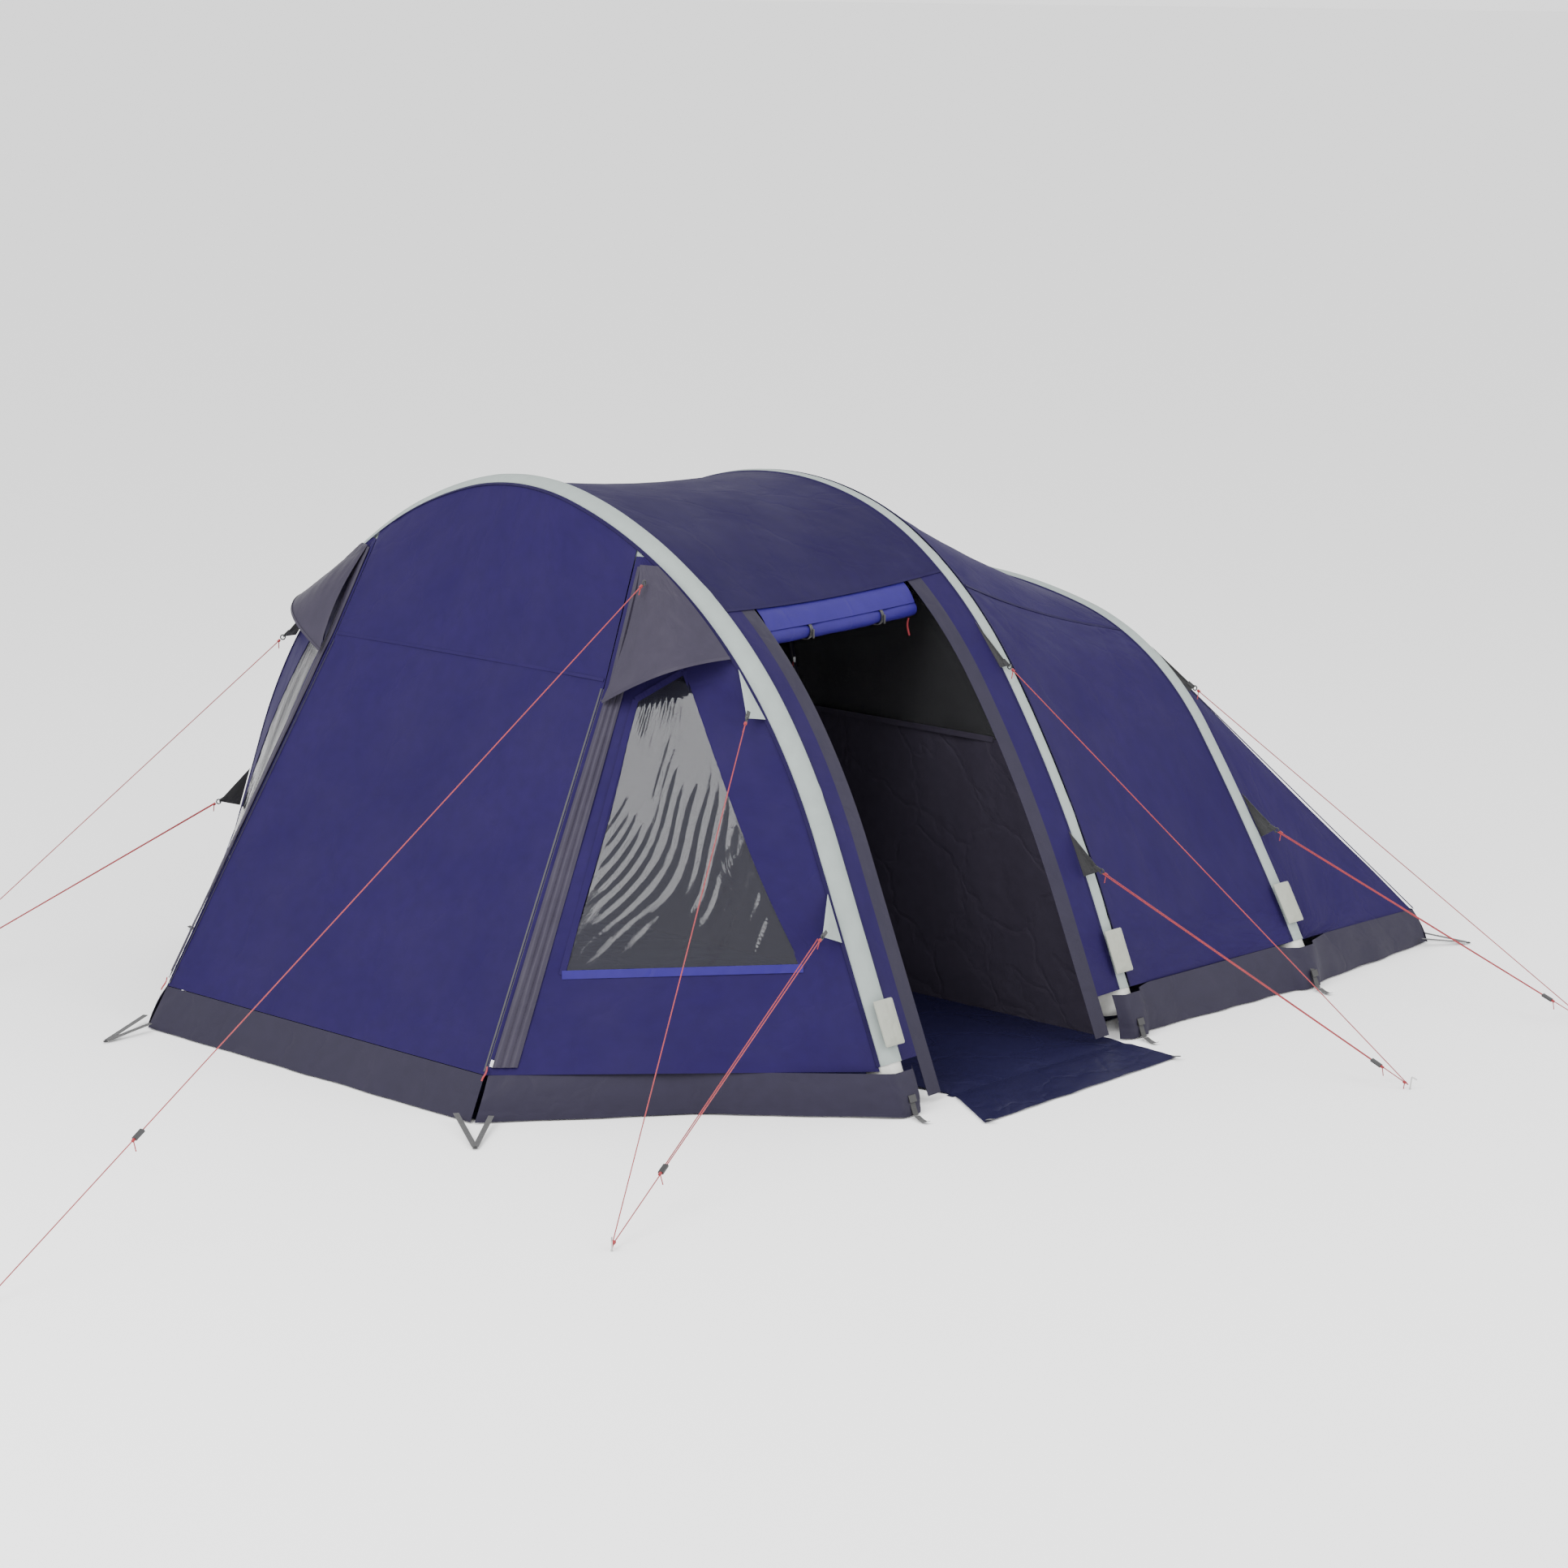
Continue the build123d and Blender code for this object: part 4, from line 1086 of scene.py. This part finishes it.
skirt_cloth("rear_skirt_cloth", [(REAR_CORNER.x - 0.004, REAR_CORNER.y), (0.004 - REAR_CORNER.x, REAR_CORNER.y)],
            [(1.761, 2.235), (-1.761, 2.235)], "rear_skirt", 140, 89.0)

# %% [markdown]
# ## The groundsheet and the threshold flap
# The porch's groundsheet is a shiny coated cloth that lies nearly flat, with shallow ripples. Outside the
# doorway its edge goes on as a flap, which can be folded up as a sill, so the flap rides on its own body.

# %% Groundsheet
FLOOR_RUN = ((0.860, -2.195), (1.690, -1.215), (1.690, -0.850), (1.838, -0.820), (1.838, 0.148))
FLAP_RUN = ((1.840, -0.815), (2.145, -1.005), (2.105, 0.125), (1.840, 0.145))


def floor_half_width(y, side):
    """How far the groundsheet reaches at a place along the tent."""
    if side > 0 and y > -0.835:
        return FLOOR_RUN[3][0]
    if y > FLOOR_RUN[1][1]:
        return 1.640 if side < 0 and y > 0 else FLOOR_RUN[1][0]
    share = (y - FLOOR_RUN[0][1]) / (FLOOR_RUN[1][1] - FLOOR_RUN[0][1])
    return mix(FLOOR_RUN[0][0], FLOOR_RUN[1][0], share)


def ripple(x, y, seed=0.0):
    wide, fine = noise.noise((x * 5 + seed, y * 5, 1.0)), noise.noise((x * 17, y * 14, seed))
    return 0.0035 * (1 + wide) + 0.0025 * (1 + fine)


def sheet_on_ground(u, v):
    y = mix(FLOOR_RUN[0][1], 0.148, v)
    x = mix(-floor_half_width(y, -1), floor_half_width(y, 1) - 0.004, u)
    return Vector((x, y, 0.002 + ripple(x, y) * 0.7 * min((1.834 - x) / 0.05, 1)))


panel("groundsheet_cloth", (130, 100), (3.53, 2.35), sheet_on_ground, "ground_fabric", ["groundsheet"], held="laid",
      amount=0, thick=0.001, facing=(0, -1, -5))


def flap_on_ground(u, v):
    inner = Vector((1.843, mix(-0.815, 0.145, v)))
    outer = Vector(FLAP_RUN[1]).lerp(Vector(FLAP_RUN[2]), v)
    point = inner.lerp(outer, u)
    point = Vector((point.x, point.y, 0.0012 + ripple(point.x, point.y, 3.0) * 0.8 * min(u / 0.15, 1)))
    point.x += 0.006 * u * noise.noise((point.y * 9, 1.0, 2.0))
    return point


panel("threshold_flap_cloth", (26, 70), (0.31, 1.13), flap_on_ground, "ground_fabric", ["threshold_flap"],
      held="laid", body="threshold_flap", amount=0, thick=0.001, facing=(2, 0, -5))
for number, at in enumerate(((2.139, -0.985), (2.103, 0.105))):
    spot = Vector((*at, 0.008))

    def loop(v, spot=spot):
        bow = math.sin(v * math.pi)
        return spot + Vector((0.028 * bow, 0.014 * (v - 0.5), 0.002 + 0.006 * bow))

    tape(f"flap_loop_{number}", loop, 0.010, (0, 0, 1), "webbing", cells=(2, 16), body="threshold_flap")
tape("sill_binding", lambda v: Vector((1.838, mix(-0.832, 0.148, v), 0.0007)), 0.030, (0, 0, 1), "ground_fabric",
     cells=(2, 40), thick=0.0008)
print("groundsheet", round(2 * floor_half_width(-1.0, 1), 2), "m wide")

# %% [markdown]
# ## Seam tapes on the fly
# The roof and the walls are separate lengths of cloth, and each join is a flat felled seam. The same kind of
# seam runs down the two hips of the rear slope. They are narrow strips just above the cloth.

# %% Seam tapes
for side, name in SIDE_NAMES.items():
    tape(f"front_roof_seam_{name}", lambda v, side=side: bay("front", "middle", side * 2.2, side * 2.2, v), 0.013,
         outward("front", side * 2.2), "roof_fabric", cells=(2, 50), lift=0.003)
    tape(f"rear_roof_seam_{name}", lambda v, side=side: bay("middle", "rear", side * 2.35, side * 1.6, v), 0.013,
         outward("middle", side * 2.1), "roof_fabric", cells=(2, 50), lift=0.003)
    tape(f"hip_seam_{name}", lambda v, side=side: slope(side * HIP, v), 0.014, (side * 0.8, 0.55, 0.5),
         "roof_fabric", cells=(2, 60), lift=0.004)
tape("rear_ridge_seam", lambda v: slope(0, v), 0.013, (0, 0.7, 0.6), "roof_fabric", cells=(2, 60), lift=0.004)

# %% [markdown]
# ## The inner tent
# The sleeping room hangs inside the rear half. Its front wall is dark cloth with fine net above, and it
# hangs in soft folds because only its edges are held. Its ceiling is loose between the beams. The floor is
# a tray, whose edges stand up so that water can't run in.

# %% Inner tent
INNER_Y, MESH_Z = 0.150, 1.05
INSIDE = [arch("middle", step * 5.85 / 400, -0.039) for step in range(401)]


def read_off(pairs, value):
    """Reads a value from a sorted table of pairs."""
    at = min(max(bisect.bisect([pair[0] for pair in pairs], value), 1), len(pairs) - 1)
    (a, low), (b, high) = pairs[at - 1], pairs[at]
    return mix(low, high, min(max((value - a) / (b - a), 0), 1))


HALF_WIDTHS = [(-point.z, point.x) for point in INSIDE]
CROWN_LINE = [(point.x, point.z) for point in INSIDE]


def hang(x, z):
    """How far the inner wall sways back at a point: soft folds that fade out beside its zip and its edges."""
    near_zip = min(abs(x - 0.17) / 0.12, 1)
    edge = min((read_off(HALF_WIDTHS, -z) - abs(x)) / 0.25, 1)
    above_tray = min(max(z - 0.13, 0) / 0.3, 1)
    return 0.030 * near_zip * above_tray * max(edge, 0) * (0.5 + 0.5 * noise.noise((x * 4.5, z * 0.9, 3.0)))


def inner_wall(u, v):
    z = mix(0.003, MESH_Z, v)
    x = mix(-1, 1, u) * read_off(HALF_WIDTHS, -z)
    return Vector((x, INNER_Y + hang(x, z), z))


def inner_net(u, v):
    x = mix(-1, 1, u) * read_off(HALF_WIDTHS, -MESH_Z)
    z = mix(MESH_Z, read_off(CROWN_LINE, abs(x)), v)
    return Vector((x, INNER_Y + hang(x, z), z))


def canopy(u, v):
    station = mix(-5, 5, u)
    rows = (arch("middle", station, -0.078, -0.097), arch("middle", station, -0.078, 0.09),
            arch("rear", station, -0.088, -0.06), slope(station, 0.04, 0.15), slope(station, 0.98, 0.15))
    return along(rows, v) - Vector((0, 0, 0.010 * math.sin(math.pi * v)))


def tray(u, v):
    x, y = mix(-1.720, 1.720, u), mix(0.045, 2.150, v)
    over = max(abs(x) - 1.600, 0.165 - y, y - 2.030, 0)
    return Vector((min(max(x, -1.6), 1.6), min(max(y, 0.165), 2.03), 0.0015 + over + 0.4 * ripple(x, y)))


INNER_LOOK = (0, 6, 1)
panel("inner_wall_cloth", (130, 50), (3.30, 1.04), inner_wall, "inner_fabric", ["inner_front_wall"], held="hung",
      amount=0.003, seed=91.0, facing=INNER_LOOK)
panel("inner_net_cloth", (120, 40), (2.70, 0.78), inner_net, "mesh_fabric", ["inner_mesh"], held="hung",
      amount=0.002, seed=92.0, thick=0.0008, facing=INNER_LOOK)
panel("inner_canopy_cloth", (110, 70), (5.6, 2.75), canopy, "inner_fabric", ["inner_canopy"], held="hung",
      amount=0.010, seed=93.0, facing=(0, 1, 0.4))
panel("inner_floor_cloth", (86, 60), (3.44, 2.11), tray, "ground_fabric", ["inner_floor"], held="laid",
      amount=0.0, thick=0.001, facing=(0, 1, -5))
tape("inner_zip", lambda v: Vector((mix(0.118, 0.218, v), INNER_Y - 0.002, mix(1.423, 1.001, v))), 0.026,
     (0, -1, 0), "skirt_fabric", cells=(2, 30))
tape("inner_zip_teeth", lambda v: Vector((mix(0.118, 0.218, v), INNER_Y - 0.0032, mix(1.423, 1.001, v))), 0.006,
     (0, -1, 0), "black_plastic", cells=(2, 60), wave=0.0006)
band_half = read_off(HALF_WIDTHS, -MESH_Z) * 0.98
tape("inner_wall_band", lambda v: Vector((mix(-1, 1, v) * band_half, INNER_Y - 0.0012, MESH_Z)), 0.022,
     (0, -1, 0), "inner_fabric", cells=(2, 60), thick=0.001)
print("inner tent", round(2 * read_off(HALF_WIDTHS, -1.0), 2), "m wide at 1 m up")

# %% [markdown]
# ## The rolled side door
# The side door is rolled up and tied under the roof. It is one sheet wound in a spiral, so both ends show
# its turns. Two elastic ties nip it in, each with a toggle, and it sags a little between them.

# %% Rolled side door
ROLL_RADIUS, ROLL_TURNS = 0.0345, 4.6
ROLL_ENDS = [bay("front", "middle", 2.36, 2.36, part) - outward("front", 2.36) * 0.058 for part in (0.14, 0.84)]
ROLL_TIES = (0.28, 0.76)
ROLL_ALONG = (ROLL_ENDS[1] - ROLL_ENDS[0]).normalized()
ROLL_SIDE = ROLL_ALONG.cross(Vector((0, 0, 1))).normalized()
ROLL_UP = ROLL_SIDE.cross(ROLL_ALONG)


def roll_point(angle, radius, part):
    """A point round the roll's own centre line, which sags between its ties."""
    centre = ROLL_ENDS[0].lerp(ROLL_ENDS[1], part) - ROLL_UP * 0.004 * math.sin(math.pi * part)
    return centre + (ROLL_SIDE * math.cos(angle) + ROLL_UP * math.sin(angle)) * radius


def rolled(u, v):
    angle = u * 2 * math.pi * ROLL_TURNS
    tied = sum(math.exp(-(((v - tie) / 0.045) ** 2)) for tie in ROLL_TIES)
    crumple = 0.0020 * noise.noise((math.cos(angle) * 1.5, math.sin(angle) * 1.5, v * 9))
    ragged = 0.010 * noise.noise((u * 6, 1.0, round(v))) * abs(2 * v - 1) ** 8
    radius = mix(0.006, ROLL_RADIUS, u) * (1 - 0.13 * tied) + crumple * u
    return roll_point(angle, radius, v + ragged)


panel("side_door_roll_cloth", (150, 60), (0.62, 0.90), rolled, "roll_fabric", ["side_door_roll"], held="gathered",
      amount=0, thick=0.0012, facing=tuple(ROLL_ENDS[0].lerp(ROLL_ENDS[1], 0.5)))


def door_head(u, v):
    """The unrolled top of the side door, from the roof's edge down to the roll."""
    part = mix(0.145, 0.835, v)
    edge = bay("front", "middle", 2.2, 2.2, part) - outward("front", 2.2) * 0.004
    lower = roll_point(HEAD_ANGLE, ROLL_RADIUS + 0.0015, (part - 0.14) / 0.70)
    return edge.lerp(lower, u) + outward("front", 2.3) * 0.006 * math.sin(math.pi * u)


HEAD_ANGLE = math.atan2(outward("front", 2.36).dot(ROLL_UP), outward("front", 2.36).dot(ROLL_SIDE))
head = lay_cloth("side_door_head_cloth", (12, 60), (0.075, 0.90), door_head, amount=0.0015, seed=97.0)
finish_piece(head, "roll_fabric")
declare_sheet(head, (head["cloth_area"] / 0.90, 0.90))
for number, tie in enumerate(ROLL_TIES):
    tape(f"roll_tie_{number}", lambda v, tie=tie: roll_point(v * 2 * math.pi, 0.0325, tie), 0.016,
         lambda v: ROLL_SIDE * math.cos(v * 2 * math.pi) + ROLL_UP * math.sin(v * 2 * math.pi), "webbing",
         cells=(4, 48), stands_for=["door_roll_ties"])
    deselect()
    bpy.ops.mesh.primitive_cylinder_add(vertices=24, radius=0.0045, depth=0.034)
    toggle = bpy.context.object
    toggle.name = toggle.data.name = f"roll_toggle_{number}"
    place = Matrix((ROLL_UP.cross(ROLL_ALONG), ROLL_ALONG, ROLL_UP)).transposed()
    toggle.data.transform(Matrix.Translation(roll_point(-0.2, 0.0400, tie)) @ place.to_4x4())
    rounding = toggle.modifiers.new("rounding", "BEVEL")
    rounding.width, rounding.segments = 0.0018, 3
    apply_all(toggle)
    bpy.ops.object.shade_smooth_by_angle(angle=math.radians(40))
    finish_piece(toggle, "black_plastic")
pull_start = roll_point(-1.2, 0.034, 0.97)
tape("roll_pull", lambda v: pull_start - Vector((0.006 * math.sin(v * 4), 0, 0.065 * v)), 0.007, (1, 0, 0),
     "guy_cord", cells=(2, 18), thick=0.002)
print("roll", round((ROLL_ENDS[1] - ROLL_ENDS[0]).length, 2), "m long")

# %% [markdown]
# ## Guy tabs, loops and knots
# Each line starts at a tab sewn into the seam beside its beam. A loop of webbing joins the tab to a ring,
# and the line is tied to the ring with a hitch whose tail is left short. Tabs are made as cloth with a wide
# root and a narrow tip, and a knot is three tight turns.

# %% Guy tabs, loops and knots
TAB_HEIGHTS = {"front": (1.39, 0.655), "middle": (1.39, 0.655), "rear": (1.15, 0.62)}


TURN_THICK = 0.0042
LINE_TO_TIP = 0.0296


def tab_root(beam, side, height):
    facing = 1 if beam == "rear" else -1
    point = seam(beam, facing, side * station_at(beam, facing, height))
    return point + outward(beam, side * 3) * 0.006 + Vector((0, facing * 0.006, 0))


def turns(name, place, ahead, radius, tail, body="tent"):
    """A hitch: three turns of cord round a line, with its tail left short."""
    rings = []
    frame_up = Vector(ahead).to_track_quat("Z", "Y").to_matrix().to_4x4()
    for number in range(3):
        deselect()
        bpy.ops.mesh.primitive_torus_add(major_radius=radius, minor_radius=TURN_THICK / 2, major_segments=20,
                                         minor_segments=8)
        rings.append(bpy.context.object)
        shift = Vector(place) + Vector(ahead).normalized() * (number - 1) * 0.0040
        rings[-1].data.transform(Matrix.Translation(shift) @ frame_up @ Matrix.Rotation(0.15 * number, 4, "X"))
    deselect()
    bpy.ops.mesh.primitive_cylinder_add(vertices=10, radius=0.0019, depth=tail)
    rings.append(bpy.context.object)
    down = Vector(ahead).cross(Vector((0, 0, 1))).normalized() * 0.3 + Vector((0, 0, -1))
    rings[-1].data.transform(Matrix.Translation(Vector(place) + down.normalized() * (tail / 2 + radius * 0.6))
                             @ down.to_track_quat("Z", "Y").to_matrix().to_4x4())
    for ring in rings:
        ring.select_set(True)
    bpy.context.view_layer.objects.active = rings[0]
    bpy.ops.object.join()
    piece = bpy.context.object
    piece.name = piece.data.name = name
    bpy.ops.object.shade_smooth_by_angle(angle=math.radians(60))
    return finish_piece(piece, "guy_cord", body)


def guy_tab(beam, side, level):
    name = f"{beam}_{SIDE_NAMES[side]}"
    height = TAB_HEIGHTS[beam][level]
    above, below = (tab_root(beam, side, height + step) for step in (0.08, -0.08))
    line_start = Vector(LOOP_ENDS[name][level])
    pull = (Vector(PEG_TIES[name]) - line_start).normalized()
    tip = line_start - pull * LINE_TO_TIP
    half = (above - below).normalized() * 0.010

    def cloth_tab(u, v):
        dish = 0.012 * math.sin(math.pi * v) * math.cos(math.pi * (u - 0.5))
        flat = above.lerp(below, u).lerp(tip + half * (1 - 2 * u), v ** 0.92)
        return flat - pull.cross(half).normalized() * dish * 0.4

    slot = "sleeve_fabric" if (beam, side) == ("front", 1) else "webbing"
    width = (above - below).length
    piece = lay_cloth(f"guy_tab_{name}_{level}", (24, 20), (width, 0.10), cloth_tab, amount=0.0008,
                      seed=101.0 + level, facing=(side * -2, 0, 1))
    finish_piece(piece, slot, "tent", ["guy_tabs"])
    declare_sheet(piece, (width, piece["cloth_area"] / (0.56 * width)))
    square = pull.cross((above - below).normalized()).normalized()
    tape(f"guy_loop_{name}_{level}", lambda v: tip + pull * mix(-0.020, 0.0125, math.sin(math.pi * v))
         + square * 0.0036 * math.cos(math.pi * v), 0.013, lambda v: square, "webbing", cells=(3, 24), thick=0.0014)
    turns(f"knot_{name}_{level}", line_start + pull * 0.008, pull, 0.0038, 0.030)


for beam in ARCHES:
    for side in SIDE_NAMES:
        for level in (0, 1):
            guy_tab(beam, side, level)
porch_start, porch_tie = Vector(LOOP_ENDS["porch"][0]), Vector(PEG_TIES["porch"])
porch_pull = porch_tie - porch_start
turns("knot_porch", porch_start + porch_pull.normalized() * 0.008, porch_pull, 0.0038, 0.03)
for place, tie in PEG_TIES.items():
    ahead = Vector(tie) - Vector(LOOP_ENDS[place][-1])
    turns(f"peg_knot_{place}", Vector(tie) - ahead.normalized() * 0.016, ahead, 0.0040, 0.022)

# %% [markdown]
# ## Runners' tails
# A runner slides along its line to tighten it, and the line's own end is knotted through it. Each knot
# rides on its runner's body, so that it goes along when the runner slides.

# %% Runners' tails
RUNNERS = {
    "front_right": ((2.0713, -2.4908, 0.1518), (-0.3207, 0.8839, 0.3404)),
    "middle_right": ((2.8096, 0.3615, 0.0729), (-0.9013, -0.1103, 0.4189)),
    "rear_right": ((2.7738, 1.5327, 0.0866), (-0.9152, -0.1187, 0.3850)),
    "front_left": ((-1.9856, -2.1606, 0.1490), (0.3280, 0.8395, 0.4331)),
    "middle_left": ((-2.8091, 0.3657, 0.0729), (0.9015, -0.1089, 0.4189)),
    "rear_left": ((-2.7732, 1.5369, 0.0866), (0.9154, -0.1173, 0.3850)),
    "porch": ((1.1399, -3.8332, 0.3580), (-0.1370, 0.8740, 0.4663)),
}
for place, (centre, ahead) in RUNNERS.items():
    turns(f"runner_knot_{place}", Vector(centre) - Vector(ahead) * 0.026, ahead, 0.0036, 0.034, f"runner_{place}")
print(len(RUNNERS), "runners")

# %% [markdown]
# ## Straps at the ground
# A webbing strap runs from each beam's foot down to its peg point, through a ladder-lock buckle, and its
# loose tail curls on the ground. Two more straps meet at each corner's ring.

# %% Ground straps
def webbing_strap(name, points, width, up):
    points = [Vector(point) for point in points]
    return tape(name, lambda v: along(points, v), width, up, "webbing", cells=(4, 44), stands_for=["peg_straps"],
                wave=0.0008)


for side, name in SIDE_NAMES.items():
    for beam in ARCHES:
        x, y = foot_run(beam, 1)[1][0] + 0.012, ARCHES[beam][0]
        high, low = Vector((side * (x - 0.038), y, 0.108)), Vector((side * (x + 0.004), y, 0.010))
        lean = (high - low).cross(Vector((0, -side, 0)))
        end = low + Vector((side * 0.006, 0, -0.004))
        webbing_strap(f"foot_strap_{beam}_{name}", (high, high.lerp(low, 0.5), low, end), 0.025, lean)
        webbing_strap(f"foot_tail_{beam}_{name}", [
            (side * (x + 0.008), y - 0.014, 0.006), (side * (x + 0.030), y - 0.022, 0.012),
            (side * (x + 0.055), y - 0.030, 0.006), (side * (x + 0.078), y - 0.037, 0.004),
            (side * (x + 0.096), y - 0.042, 0.010)], 0.022, (0, 0, 1))
CORNER_PEGS = ((1.120, -2.425), (-0.835, -2.465), (1.895, 2.335), (-1.895, 2.335))
for number, (x, y) in enumerate(CORNER_PEGS):
    side = math.copysign(1, x)
    corner_x, corner_y = side * (CORNER[0] if y < 0 else 1.765), math.copysign(CORNER[1] if y < 0 else 2.235, y)
    tip = Vector((x, y, 0.0065))
    for leg, run in enumerate(((-0.052, -0.020), (0.058, 0.042)) if y < 0 else ((0.020, -0.070), (-0.070, 0.020))):
        root = Vector((corner_x + side * run[0], corner_y + run[1], 0.032))
        ahead = (root - tip).normalized()
        halfway = tip + ahead * 0.5 * (root - tip).length
        webbing_strap(f"corner_strap_{number}_{leg}", (tip + ahead * 0.008, halfway, root), 0.020,
                      ahead.cross(Vector((0, 0, 1))).cross(ahead))

# %% [markdown]
# ## Zip pulls
# A red cord pull hangs from each zip slider, and rides on that slider's body.

# %% Zip pulls
PULLS = {
    "front_slider_right": (Vector((0.872, -2.137, 0.180)), (0.1, -1, 0)),
    "front_slider_left": (Vector((-0.880, -2.137, 0.180)), (-0.1, -1, 0)),
    "inner_slider": (Vector((0.172, 0.1405, 1.222)), (0, -1, 0)),
}
for body, (start, look) in PULLS.items():
    look = Vector(look).normalized()
    tape(f"{body}_pull",
         lambda v: start + Vector((0.004 * math.sin(v * 5), 0, -0.046 * v)) + look * (0.004 + 0.024 * v),
         0.006, look, "guy_cord", cells=(2, 20), thick=0.0022, body=body)
print("all cloth, cord and webbing placed")

# %% [markdown]
# ## Lights and floor
# Two large soft lights and a white room give even studio light, with the brighter one before the porch.

# %% Lights and floor
def soft_light(name, place, aim, size, power):
    deselect()
    bpy.ops.object.light_add(type="AREA", location=place)
    light = bpy.context.object
    light.name = light.data.name = name
    light.data.size, light.data.energy = size, power
    light.rotation_euler = (Vector(aim) - Vector(place)).to_track_quat("-Z", "Y").to_euler()


soft_light("key light", (2, -9, 8), (0, 0, 0.8), 7, 1500)
soft_light("fill light", (10, 2, 6), (0, 0, 0.8), 7, 750)
world = bpy.data.worlds.new("white room")
bpy.context.scene.world = world
world.use_nodes = True
world.node_tree.nodes["Background"].inputs["Color"].default_value = (1, 1, 1, 1)
world.node_tree.nodes["Background"].inputs["Strength"].default_value = 1.7
deselect()
bpy.ops.mesh.primitive_plane_add(size=800, location=(0, 0, -0.002))
floor = bpy.context.object
floor.name = "pale floor"
floor.data.materials.append(new_finish("pale floor", (0.93, 0.93, 0.93), 0.9)[0])
